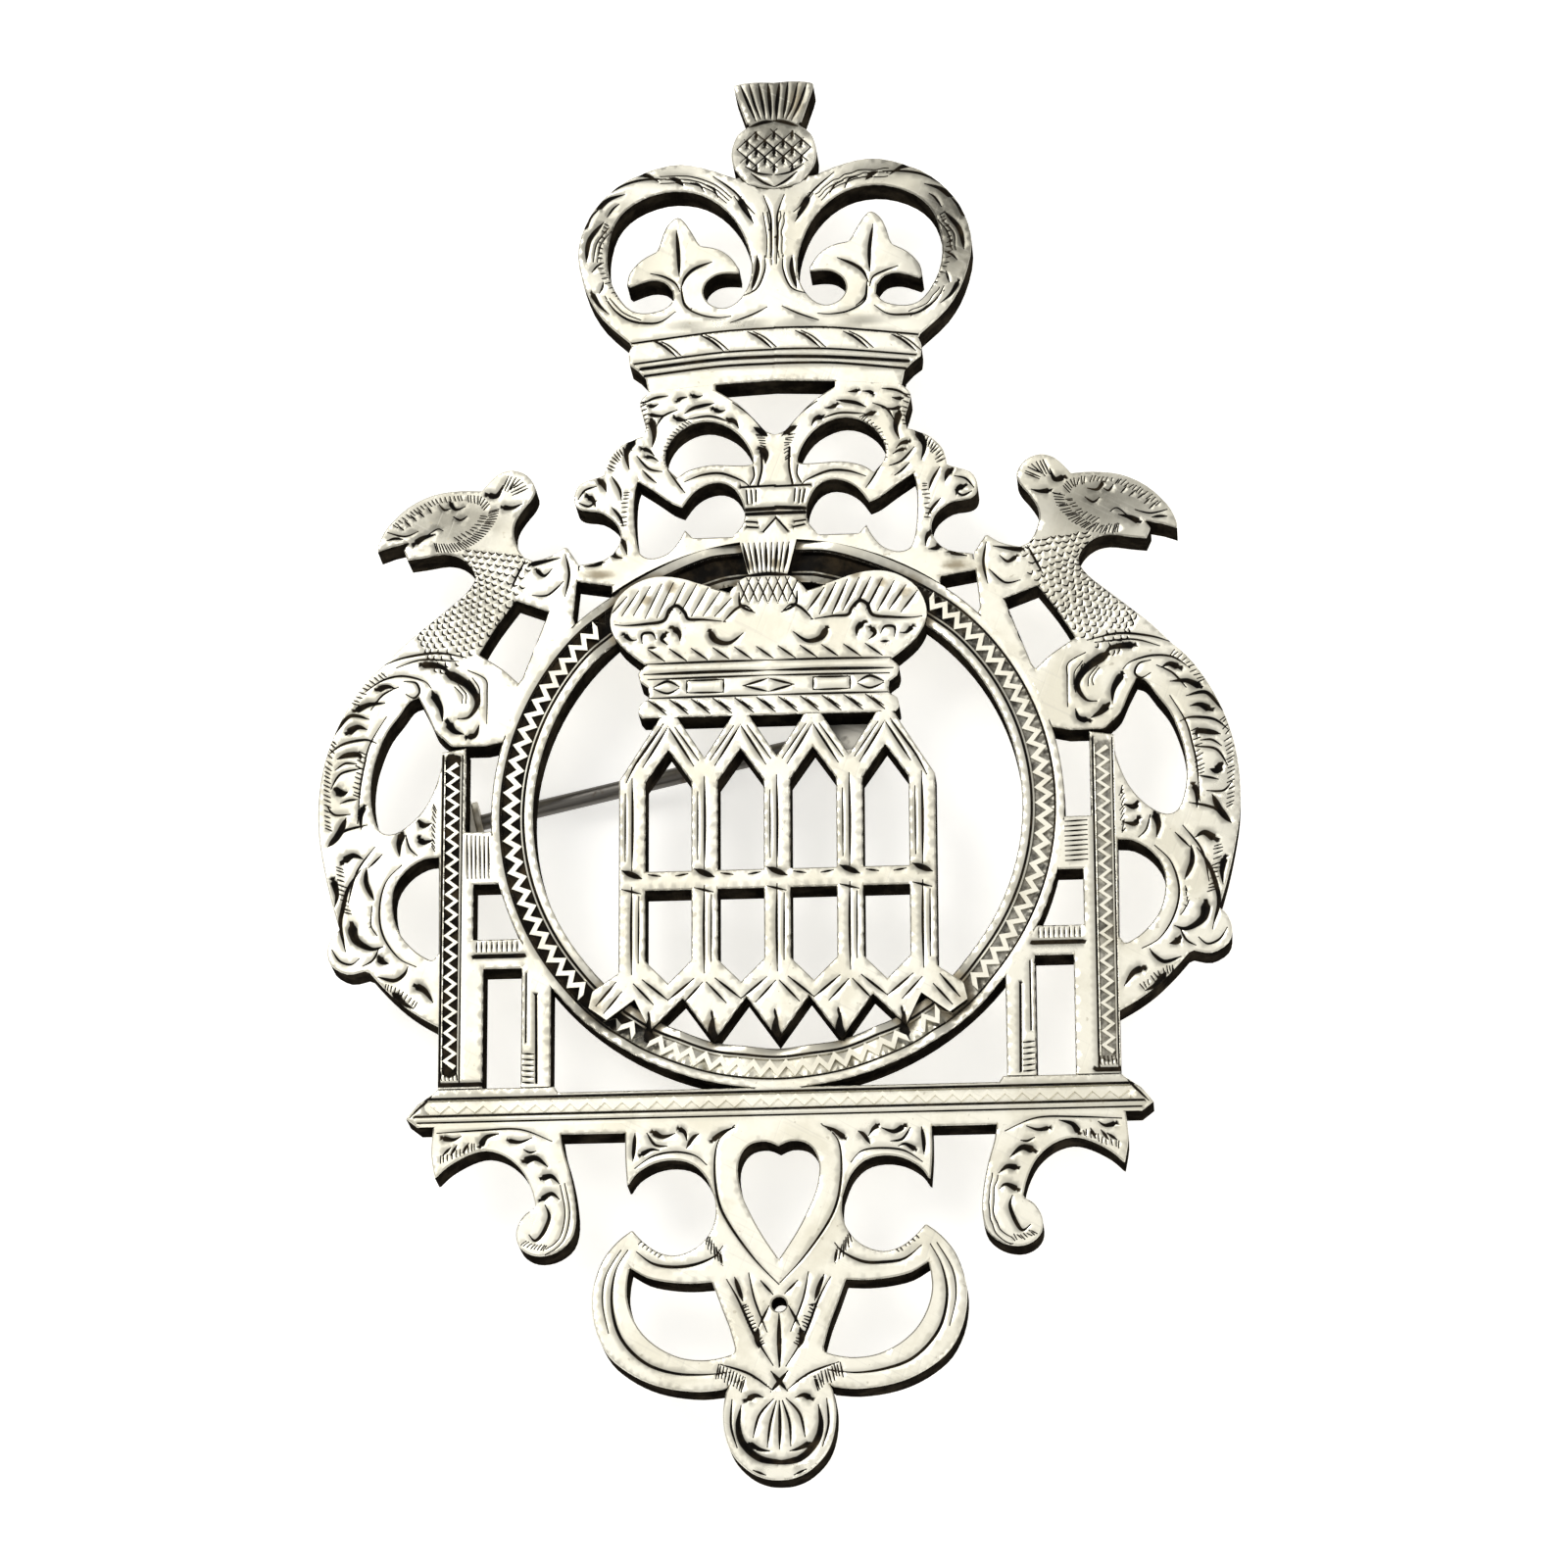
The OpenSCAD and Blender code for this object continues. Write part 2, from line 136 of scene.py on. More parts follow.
def bump(graph, height, strength, distance):
    return graph.add("ShaderNodeBump", {}, {"Height": height, "Strength": strength, "Distance": distance})


# finishes

def makeEngravedSilver():
    g = Graph("engravedSilver")
    place = g.add("ShaderNodeTexCoord", {}, {}, "Object")
    cut = g.add("ShaderNodeAttribute", {"attribute_name": "cut"}, {}, "Fac")
    stainAndShade = g.add("ShaderNodeAttribute", {"attribute_name": "stainAndShade"}, {}, "Fac")
    rim = g.add("ShaderNodeAttribute", {"attribute_name": "rim"}, {}, "Fac")
    greyAndShade = g.add("ShaderNodeAttribute", {"attribute_name": "greyAndShade"}, {}, "Fac")
    patches = g.noise(place, 230.0, 5.0, 0.6)
    fine = g.noise(place, 3200.0, 3.0, 0.6)
    mottle = g.noise(place, 900.0, 4.0, 0.65)
    # fine rubbing marks in two directions
    rubA = g.noise(g.stretched(place, (140.0, 5200.0, 400.0), (0, 0, 0.5)), 1.0, 2.0)
    rubB = g.noise(g.stretched(place, (5600.0, 170.0, 400.0), (0, 0, 0.35)), 1.0, 2.0)
    rubs = g.step(rubA, 0.58, 0.72) + g.step(rubB, 0.6, 0.74)
    black = g.step(cut + (fine - 0.5) * 0.2, 0.05, 0.32)
    # the stain and grey attributes also carry painted shade on the ring beside the pieces lying over it
    tarnishAndShade = g.step(stainAndShade + (mottle - 0.5) * 0.9, 0.25, 0.85)
    bright = g.mix(g.step(patches, 0.42, 0.62) * 0.75, rgb(0.90, 0.875, 0.765), rgb(0.66, 0.63, 0.52))
    bright = g.mix(greyAndShade * (0.7 + mottle * 0.5), bright, rgb(0.18, 0.173, 0.146))
    rubbed = g.mix(rubs * 0.28, bright, rgb(0.52, 0.505, 0.45))
    specks = g.step(g.noise(place, 2100.0, 2.0), 0.70, 0.76)
    specked = g.mix(specks * 0.45, rubbed, rgb(0.34, 0.30, 0.22))
    stainedAndShaded = g.mix(tarnishAndShade * 0.9, specked, g.mix(mottle, rgb(0.14, 0.11, 0.07), rgb(0.46, 0.40, 0.28)))
    worn = g.mix(rim * 0.35, stainedAndShaded, rgb(0.5, 0.47, 0.40))
    oxide = g.mix(g.step(mottle, 0.4, 0.75), rgb(0.010, 0.009, 0.008), rgb(0.05, 0.037, 0.022))
    color = g.mix(black, worn, oxide)
    metal = 1 - tarnishAndShade * 0.2
    rough = 0.27 + g.step(patches, 0.3, 0.7) * 0.12 + rubs * 0.05 + black * 0.3 + tarnishAndShade * 0.2
    height = mottle * 0.5 + fine * 0.12 - rubs * 0.1
    return g.finish(color, metal, rough, bump(g, height, 0.22, 0.00006))


def makeEdgeOxideAndShade():
    g = Graph("edgeOxideAndShade")
    place = g.add("ShaderNodeTexCoord", {}, {}, "Object")
    # saw marks run up the edge, so they only vary round the outline
    saw = g.noise(g.stretched(place, (4200.0, 4200.0, 160.0)), 1.0, 3.0, 0.6)
    worn = g.noise(place, 700.0, 4.0, 0.6)
    grime = g.step(worn, 0.42, 0.7)
    # painted shade: the sawn edges are near-black with no sheen, partly their oxide and partly the shade that falls on
    # them
    dark = g.mix(saw, rgb(0.003, 0.0026, 0.0022), rgb(0.015, 0.012, 0.009))
    color = g.mix(grime * 0.16, dark, rgb(0.15, 0.12, 0.08))
    return g.finish(color, 0.0, 0.6 + saw * 0.25, bump(g, saw, 0.5, 0.00004), sheen=0.0)


def makeFittingSilver():
    g = Graph("fittingSilver")
    place = g.add("ShaderNodeTexCoord", {}, {}, "Object")
    patches = g.noise(place, 320.0, 5.0, 0.62)
    grain = g.noise(g.stretched(place, (300.0, 4200.0, 4200.0), (0, 0, 0.3)), 1.0, 3.0)
    spots = g.step(g.noise(place, 1500.0, 3.0), 0.6, 0.75)
    dull = g.step(patches, 0.35, 0.7)
    color = g.mix(dull * 0.75, rgb(0.70, 0.675, 0.60), rgb(0.36, 0.32, 0.245))
    color = g.mix(spots * 0.5, color, rgb(0.12, 0.095, 0.06))
    rough = 0.36 + dull * 0.18 + grain * 0.12
    return g.finish(color, 1 - spots * 0.4, rough, bump(g, grain + patches * 0.4, 0.3, 0.00004))


def makePinSteel():
    g = Graph("pinSteel")
    place = g.add("ShaderNodeTexCoord", {}, {}, "Object")
    # draw marks run along the wire
    marks = g.noise(g.stretched(place, (260.0, 6500.0, 6500.0), (0, 0, -0.218)), 1.0, 3.0)
    rust = g.step(g.noise(place, 1100.0, 5.0, 0.65), 0.58, 0.72)
    color = g.mix(marks, rgb(0.07, 0.066, 0.06), rgb(0.20, 0.19, 0.175))
    color = g.mix(rust * 0.6, color, rgb(0.09, 0.055, 0.03))
    return g.finish(color, 1 - rust * 0.55, 0.3 + marks * 0.14 + rust * 0.3, bump(g, marks, 0.25, 0.00003))


silver = makeEngravedSilver()
edgeOxideAndShade = makeEdgeOxideAndShade()
fittingSilver = makeFittingSilver()
pinSteel = makePinSteel()
print("finishes made")


# laying out cuts

cuts = []       # every tapered stroke: points, half widths
bands = []      # flat-bottomed channels
stains = []     # soft tarnished areas: x, y, reach x, reach y, strength
greys = []      # areas rubbed dull and grey, given the same way


def throughPoints(points, spacing=0.1):
    # even points along a smooth line through the given ones
    p = [np.array(q, float) for q in points]
    if len(p) == 2:
        count = max(2, int(np.linalg.norm(p[1] - p[0]) / spacing) + 1)
        return [p[0] + (p[1] - p[0]) * k / count for k in range(count + 1)]
    line = []
    for i in range(len(p) - 1):
        a, b, c, d = p[max(i - 1, 0)], p[i], p[i + 1], p[min(i + 2, len(p) - 1)]
        count = max(2, int(np.linalg.norm(c - b) / spacing) + 1)
        for k in range(count):
            t = k / count
            line.append(0.5 * (2 * b + (c - a) * t + (2 * a - 5 * b + 4 * c - d) * t * t
                               + (3 * b - a - 3 * c + d) * t ** 3))
    line.append(p[-1])
    return line


def tapered(kind, t):
    # share of the full half width at fraction t along a stroke
    if kind == "blunt":
        return 1.0
    if kind == "comma":
        return max(0.12, (1 - t) ** 0.7) * min(1.0, 0.45 + t * 5)
    return max(0.12, 1 - abs(2 * t - 1) ** 2.6)


tool = {"taper": 1.3, "comma": 1.55, "blunt": 1.2}    # how much wider each kind of cut opens than its stroke


def addCut(width, points, kind="taper", only=None):
    line = throughPoints(points)
    last = len(line) - 1
    half = [0.5 * width * tool[kind] * tapered(kind, i / last) for i in range(last + 1)]
    cuts.append((np.array(line), np.array(half), only))


def mirrored(points):
    # the other half is cut by hand too, so it wanders a little
    return [(-x + random.uniform(-0.05, 0.05), y + random.uniform(-0.05, 0.05)) for x, y in points]


def engrave(lines, kind="taper", bothSides=True, only=None):
    for width, points in lines:
        addCut(width, points, kind, only)
        if bothSides:
            addCut(width, mirrored(points), kind, only)


def hatch(path, reach, spacing, width, lean=90, bothSides=True):
    # short parallel cuts across a path, leaning by so many degrees from it
    line = throughPoints(path, spacing)
    found = []
    for i in range(len(line)):
        a, b = line[max(i - 1, 0)], line[min(i + 1, len(line) - 1)]
        angle = math.atan2(b[1] - a[1], b[0] - a[0]) + math.radians(lean)
        size = reach * random.uniform(0.8, 1.1)
        x, y = line[i]
        found.append((width, [(x, y), (x + size * math.cos(angle), y + size * math.sin(angle))]))
    engrave(found, "taper", bothSides)


def parallels(lines, offset, count, width, bothSides=True):
    # the same curve repeated beside itself
    for points in lines:
        line = throughPoints(points, 0.4)
        for n in range(1, count + 1):
            moved = []
            for i, q in enumerate(line):
                a, b = line[max(i - 1, 0)], line[min(i + 1, len(line) - 1)]
                d = (b - a) / max(1e-6, np.linalg.norm(b - a))
                moved.append((q[0] - d[1] * offset * n, q[1] + d[0] * offset * n))
            engrave([(width, moved)], "taper", bothSides)


def channel(points, width, depth, dark=0.9, only=None):
    bands.append((np.array(throughPoints(points, 0.12)), width / 2, depth, dark, only))


# plate meshes

def nodeLoops(name):
    # outline of a node's top face, in drawing mm
    copy = bmesh.new()
    copy.from_mesh(nodes[name].data)
    bmesh.ops.remove_doubles(copy, verts=copy.verts, dist=1e-6)
    top = max(v.co.z for v in copy.verts)
    flat = {f for f in copy.faces if f.normal.z > 0.9 and all(v.co.z > top - 1e-5 for v in f.verts)}
    edges = [e for e in copy.edges if sum(f in flat for f in e.link_faces) == 1]
    found = [((e.verts[0].co.x / mm, e.verts[0].co.y / mm - drawingY),
              (e.verts[1].co.x / mm, e.verts[1].co.y / mm - drawingY)) for e in edges]
    copy.free()
    return found


def toSegments(points, starts, ends, withPlace=False):
    # distance of each point to the nearest segment, and which one it is
    best = np.full(len(points), 1e9)
    place = np.zeros(len(points))
    which = np.zeros(len(points), int)
    d = ends - starts
    size = np.maximum((d ** 2).sum(1), 1e-12)
    for i in range(0, len(points), 1500):
        p = points[i:i + 1500, None, :]
        t = np.clip(((p - starts) * d).sum(2) / size, 0, 1)
        gap = np.sqrt((((starts + d * t[..., None]) - p) ** 2).sum(2))
        nearest = gap.argmin(1)
        which[i:i + 1500] = nearest
        place[i:i + 1500] = t[np.arange(len(t)), nearest]
        best[i:i + 1500] = gap.min(1)
    return (best, which, place) if withPlace else (best, which)


def within(points, starts, ends):
    # even-odd test against the outline
    inside = np.zeros(len(points), bool)
    for i in range(0, len(points), 4000):
        p = points[i:i + 4000]
        y = p[:, 1][:, None]
        crosses = (starts[:, 1] > y) != (ends[:, 1] > y)
        rise = np.where(ends[:, 1] == starts[:, 1], 1e-12, ends[:, 1] - starts[:, 1])
        at = starts[:, 0] + (y - starts[:, 1]) / rise * (ends[:, 0] - starts[:, 0])
        inside[i:i + 4000] = ((crosses & (p[:, 0][:, None] < at)).sum(1) % 2) == 1
    return inside


plate = {"top": 5.0, "back": 3.0, "round": 0.08, "grid": 0.24, "outline": 0.16, "fullDepth": 0.15}
plateNodes = ["thistle_finial", "crown_arches", "crown_circlet", "neck_scrolls", "ring", "small_crown",
              "tracery_panel", "left_supporter", "right_supporter", "left_pillar", "right_pillar",
              "base_bar", "left_leaf_scroll", "right_leaf_scroll", "heart_frame", "crescent_shield",
              "drop_roundel"]
outlines = {name: np.array(nodeLoops(name)) for name in plateNodes}


class Sieve:
    # keeps points that are not too close to the ones already taken
    def __init__(self, cell):
        self.cell, self.taken, self.points = cell, {}, []

    def offer(self, x, y, gap):
        cx, cy = int(x // self.cell), int(y // self.cell)
        for i in range(cx - 1, cx + 2):
            for j in range(cy - 1, cy + 2):
                for qx, qy in self.taken.get((i, j), ()):
                    if (qx - x) ** 2 + (qy - y) ** 2 < gap * gap:
                        return False
        self.taken.setdefault((cx, cy), []).append((x, y))
        self.points.append((x, y))
        return True


# how far the ring drops beside the pieces lying over it, in mm, and the painted shade beside them: its strengths, and
# how far it spreads in mm
lowered = {"drop": 0.42, "reach": 1.1, "stainAndShade": 0.85, "shadeStainReach": 0.5, "greyAndShade": 0.6, "shadeGreyReach": 1.2}


def surfaceFacts(points, name):
    # groove depth, blackness, tarnish and greyness at each point; on the ring the tarnish and greyness also carry
    # painted shade
    depth = np.zeros(len(points))
    black = np.zeros(len(points))
    smudge = np.zeros(len(points))
    for line, half, only in cuts:
        if only and name not in only:
            continue
        reach = half.max() + 0.3
        near = np.where((points[:, 0] > line[:, 0].min() - reach) & (points[:, 0] < line[:, 0].max() + reach)
                        & (points[:, 1] > line[:, 1].min() - reach) & (points[:, 1] < line[:,
                                1].max() + reach))[0]
        if not len(near):
            continue
        gap, which, at = toSegments(points[near], line[:-1], line[1:], True)
        size = half[which] * (1 - at) + half[which + 1] * at
        share = np.clip(1 - gap / size, 0, 1)
        # wiped blacking stays in a soft halo round the bigger cuts
        halo = np.exp(-(np.maximum(gap - size, 0) / 0.13) ** 2) * np.clip(size / 0.16, 0, 1)
        smudge[near] = np.maximum(smudge[near], halo)
        depth[near] = np.maximum(depth[near], share * np.minimum(size * 0.6, plate["fullDepth"]))
        black[near] = np.maximum(black[near], share)
    for line, half, deep, dark, only in bands:
        if only and name not in only:
            continue
        near = np.where((points[:, 0] > line[:, 0].min() - half) & (points[:, 0] < line[:, 0].max() + half)
                        & (points[:, 1] > line[:, 1].min() - half) & (points[:, 1] < line[:,
                                1].max() + half))[0]
        if not len(near):
            continue
        gap, _ = toSegments(points[near], line[:-1], line[1:])
        share = np.clip((half + 0.01 - gap) / 0.05, 0, 1)
        depth[near] = np.maximum(depth[near], share * deep)
        shade = dark(points[near]) if callable(dark) else dark
        black[near] = np.maximum(black[near], share * shade)
    stainAndShade, greyAndShade = softAreas(points, stains), np.maximum(softAreas(points, greys), smudge * 0.6)
    if name == "ring":
        # the ring sits a little lower where the crown and the tracery lie over it
        over = np.concatenate([outlines["small_crown"], outlines["tracery_panel"]])
        gap, _ = toSegments(points, over[:, 0], over[:, 1])
        depth = np.maximum(depth, 0) + lowered["drop"] * np.exp(-(gap / lowered["reach"]) ** 2)
        # painted shade: the ring is browned and greyed beside the crown and the tracery, as if in their shadow
        stainAndShade = np.maximum(stainAndShade, lowered["stainAndShade"] * np.exp(-(gap / lowered["shadeStainReach"]) ** 2))
        greyAndShade = np.maximum(greyAndShade, lowered["greyAndShade"] * np.exp(-(gap / lowered["shadeGreyReach"]) ** 2))
    return depth, black, stainAndShade, greyAndShade


def softAreas(points, areas):
    found = np.zeros(len(points))
    for x, y, reachX, reachY, strength in areas:
        far = ((points[:, 0] - x) / reachX) ** 2 + ((points[:, 1] - y) / reachY) ** 2
        found = np.maximum(found, strength * np.exp(-far * 1.4))
    return found


def clearOf(spots, starts, ends):
    # not in the dark hollow at the top, and not against the edge of a piece lying over it
    gap, _ = toSegments(spots, starts, ends)
    hollow = (spots[:, 1] > 9.4) & (np.abs(spots[:, 0]) < 7.4)
    return (gap > 0.12) & ~hollow


def buildPlate(name, title, extra=None):
    raw = outlines[name]
    starts, ends = raw[:, 0], raw[:, 1]
    # an edge that another piece lies against stays square
    others = np.concatenate([outlines[n] for n in plateNodes if n != name])
    gap, _ = toSegments((starts + ends) / 2, others[:, 0], others[:, 1])
    free = gap > 0.03
    sieve = Sieve(0.12)
    corners, outlineEdges = {}, []

    def corner(q):
        key = (round(q[0], 4), round(q[1], 4))
        if key not in corners:
            corners[key] = len(sieve.points)
            sieve.taken.setdefault((int(q[0] // 0.12), int(q[1] // 0.12)), []).append((q[0], q[1]))
            sieve.points.append((q[0], q[1]))
        return corners[key]

    for a, b in zip(starts, ends):
        count = max(1, int(math.ceil(np.linalg.norm(b - a) / plate["outline"])))
        ids = [corner(a + (b - a) * k / count) for k in range(count + 1)]
        outlineEdges += list(zip(ids[:-1], ids[1:]))

    low, high = starts.min(0), starts.max(0)
    wanted, gaps = [], []
    for line, half, only in cuts:
        if (only and name not in only) or line[:, 0].max() < low[0] - 0.3 or line[:, 0].min() > high[0] + 0.3 \
                or line[:, 1].max() < low[1] - 0.3 or line[:, 1].min() > high[1] + 0.3:
            continue
        d = np.gradient(line, axis=0)
        side = np.stack([-d[:, 1], d[:, 0]], 1) / np.maximum(np.linalg.norm(d, axis=1), 1e-9)[:, None]
        reach = np.maximum(half, 0.04)[:, None]
        for row in (0, 1, -1):
            wanted.append(line + side * reach * row)
            gaps.append(np.full(len(line), 0.028))
        # a few points past each end close the cut off
        for end, way in ((line[0], -d[0]), (line[-1], d[-1])):
            angle = math.atan2(way[1], way[0])
            caps = [end + 0.05 * np.array((math.cos(angle + turn), math.sin(angle + turn))) for turn in (0, 0.9,
                    -0.9)]
            wanted.append(np.array(caps))
            gaps.append(np.full(3, 0.028))
    for line, half, deep, dark, only in bands:
        if only and name not in only:
            continue
        d = np.gradient(line, axis=0)
        side = np.stack([-d[:, 1], d[:, 0]], 1) / np.maximum(np.linalg.norm(d, axis=1), 1e-9)[:, None]
        for row in (half, half - 0.04, -half, 0.04 - half):
            wanted.append(line + side * row)
            gaps.append(np.full(len(line), 0.03))
    # rows just inside the outline carry the rounded edge
    mids, slopes = [], []
    for a, b in zip(starts, ends):
        count = max(1, int(math.ceil(np.linalg.norm(b - a) / 0.13)))
        for k in range(count):
            mids.append(a + (b - a) * (k + 0.5) / count)
            slopes.append((b - a) / max(1e-9, np.linalg.norm(b - a)))
    mids, slopes = np.array(mids), np.array(slopes)
    side = np.stack([-slopes[:, 1], slopes[:, 0]], 1)
    for inset in (0.028, 0.08):
        for sign in (1, -1):
            wanted.append(mids + side * inset * sign)
            gaps.append(np.full(len(mids), 0.04))
    step = plate["grid"]
    xs, ys = np.meshgrid(np.arange(low[0], high[0], step), np.arange(low[1], high[1], step))
    xs = xs + (np.arange(xs.shape[0]) % 2)[:, None] * step / 2
    wanted.append(np.stack([xs.ravel(), ys.ravel()], 1))
    gaps.append(np.full(xs.size, 0.12))
    wanted, gaps = np.concatenate(wanted), np.concatenate(gaps)
    keep = within(wanted, starts, ends)
    wanted, gaps = wanted[keep], gaps[keep]
    away, _ = toSegments(wanted, starts, ends)
    for (x, y), space, edgeGap in zip(wanted, gaps, away):
        if edgeGap > 0.022:
            sieve.offer(x, y, space)

    verts, _, faces, origin, _, _ = delaunay_2d_cdt(
        [Vector(q) for q in sieve.points], outlineEdges, [], 0, 1e-7)
    flat = np.array([(v.x, v.y) for v in verts])
    tri = np.array([f for f in faces if len(f) == 3])
    tri = tri[within(flat[tri].mean(1), starts, ends)]
    span = flat[tri]
    area = np.cross(span[:, 1] - span[:, 0], span[:, 2] - span[:, 0])
    tri = tri[np.abs(area) > 1e-9]
    area = area[np.abs(area) > 1e-9]
    tri[area < 0] = tri[area < 0][:, ::-1]

    used = np.unique(tri)
    remap = -np.ones(len(flat), int)
    remap[used] = np.arange(len(used))
    flat, tri = flat[used], remap[tri]
    directed = set()
    for a, b, c in tri:
        directed.update(((a, b), (b, c), (c, a)))
    rimEdges = [(a, b) for a, b in directed if (b, a) not in directed]

    depth, black, stainAndShade, greyAndShade = surfaceFacts(flat, name)
    fall = np.zeros(len(flat))
    rim = np.zeros(len(flat))
    if free.any():
        away, _ = toSegments(flat, starts[free], ends[free])
        r = plate["round"]
        inner = np.clip(1 - away / r, 0, 1)
        fall = r - np.sqrt(np.maximum(r * r - (inner * r) ** 2, 0))
        rim = np.clip(1 - away / 0.1, 0, 1)
    height = plate["top"] - np.minimum(fall, plate["round"]) - depth

    rimIds = sorted({i for e in rimEdges for i in e})
    lower = {i: len(flat) + k for k, i in enumerate(rimIds)}
    coords = [(x * mm, (y + drawingY) * mm, z * mm) for (x, y), z in zip(flat, height)]
    coords += [(flat[i][0] * mm, (flat[i][1] + drawingY) * mm, plate["back"] * mm) for i in rimIds]
    polygons = [tuple(int(i) for i in t) for t in tri]
    kinds = [0] * len(polygons)
    for a, b in rimEdges:
        polygons.append((int(b), int(a), lower[a], lower[b]))
        kinds.append(1)
    order = {i: k for k, i in enumerate(rimIds)}
    backVerts, _, backFaces, _, _, _ = delaunay_2d_cdt(
        [Vector(flat[i]) for i in rimIds], [(order[a], order[b]) for a, b in rimEdges], [], 0, 1e-7)
    if len(backVerts) != len(rimIds):
        print("back of", name, "has", len(backVerts), "for", len(rimIds))
    backFlat = np.array([(v.x, v.y) for v in backVerts])
    for f in backFaces:
        if within(backFlat[list(f)].mean(0)[None, :], starts, ends)[0]:
            q = backFlat[list(f)]
            turn = np.cross(q[1] - q[0], q[2] - q[0])
            if abs(turn) < 1e-9:
                continue
            ids = [lower[rimIds[i]] for i in (f if turn < 0 else reversed(f))]
            polygons.append(tuple(ids))
            kinds.append(2)

    mesh = bpy.data.meshes.new(title)
    mesh.from_pydata(coords, [], polygons)
    for material in (silver, edgeOxideAndShade, fittingSilver):
        mesh.materials.append(material)
    mesh.polygons.foreach_set("material_index", kinds)
    blank = np.zeros(len(rimIds))
    for label, values in (("cut", black), ("stainAndShade", stainAndShade), ("greyAndShade", greyAndShade), ("rim", rim)):
        layer = mesh.attributes.new(label, "FLOAT", "POINT")
        layer.data.foreach_set("value", np.concatenate([values, blank]).astype(np.float32))
    if extra is not None:
        mesh = withExtra(mesh, extra, lambda spots: within(spots, starts, ends) & clearOf(spots, starts, ends))
    mesh.polygons.foreach_set("use_smooth", np.ones(len(mesh.polygons), bool))
    softenByAngle(mesh, 40)
    made = bpy.data.objects.new(title, mesh)
    bpy.context.scene.collection.objects.link(made)
    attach(made, "badge")
    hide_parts(name)
    print("plate", title, len(mesh.polygons), "faces")
    return made


def softenByAngle(mesh, degrees):
    # smooth shading with sharp edges where the faces turn by more than this
    work = bmesh.new()
    work.from_mesh(mesh)
    limit = math.radians(degrees)
    for edge in work.edges:
        edge.smooth = len(edge.link_faces) == 2 and edge.calc_face_angle(0) < limit
    work.to_mesh(mesh)
    work.free()


def withExtra(mesh, extra, allowed):
    # adds the ribbon, leaving out whatever part of it runs under another piece
    ribbon = bmesh.new()
    ribbon.from_mesh(extra)
    spots = np.array([(v.co.x / mm, v.co.y / mm - drawingY) for v in ribbon.verts])
    keep = allowed(spots)
    bmesh.ops.delete(ribbon, geom=[v for v, k in zip(ribbon.verts, keep) if not k], context="VERTS")
    bmesh.ops.holes_fill(ribbon, edges=[e for e in ribbon.edges if e.is_boundary], sides=8)
    ribbon.to_mesh(extra)
    ribbon.free()
    work = bmesh.new()
    work.from_mesh(mesh)
    work.from_mesh(extra)
    work.to_mesh(mesh)
    work.free()
    bpy.data.meshes.remove(extra)
    return mesh


# thistle

thistle = {
    "flutes": [(0.16, [(-1.75, 37.75), (-1.35, 36.7), (-0.95, 35.7)]),
               (0.14, [(-1.3, 37.8), (-1.0, 36.6), (-0.7, 35.8)]),
               (0.16, [(-0.8, 37.85), (-0.6, 36.7), (-0.45, 35.8)]),
               (0.2, [(-0.3, 37.85), (-0.2, 36.6), (-0.15, 35.8)])],
    "collar": [(0.2, [(-1.3, 35.35), (-0.6, 35.6), (0, 35.65)])],
    "leaves": [(0.14, [(-1.2, 32.7), (-0.6, 32.2), (0, 31.9)]),
               (0.12, [(-1.5, 33.1), (-0.8, 32.7), (-0.1, 32.6)])],
    "latticePitch": 0.98,
}
engrave(thistle["flutes"] + thistle["collar"] + thistle["leaves"])
for n in range(-3, 4):
    shift = n * thistle["latticePitch"]
    for lean in (1, -1):
        run = [(lean * (shift - 1.15) * 1.0, 33.0), (lean * (shift + 1.15), 35.2)]
        run = [q for q in throughPoints(run) if (q[0] / 2.0) ** 2 + ((q[1] - 33.9) / 1.35) ** 2 < 1]
        if len(run) > 4:
            engrave([(0.085, [tuple(run[0]), tuple(run[-1])])], bothSides=False)
for row in range(5):
    for n in range(-2, 3):
        x, y = (n + 0.5 * (row % 2)) * 0.95, 32.9 + row * 0.48
        if (x / 1.75) ** 2 + ((y - 33.9) / 1.2) ** 2 < 1:
            engrave([(0.2, [(x, y - 0.12), (x + 0.04, y + 0.28)])], "comma", bothSides=False)
greys += [(0, 35, 3.2, 4.6, 1.0), (0.2, 37.1, 2.6, 1.8, 1.5)]
stains += [(1.3, 36.9, 0.7, 1.6, 0.7), (-0.2, 36.2, 1.2, 0.5, 0.45)]

# crown arches and circlet

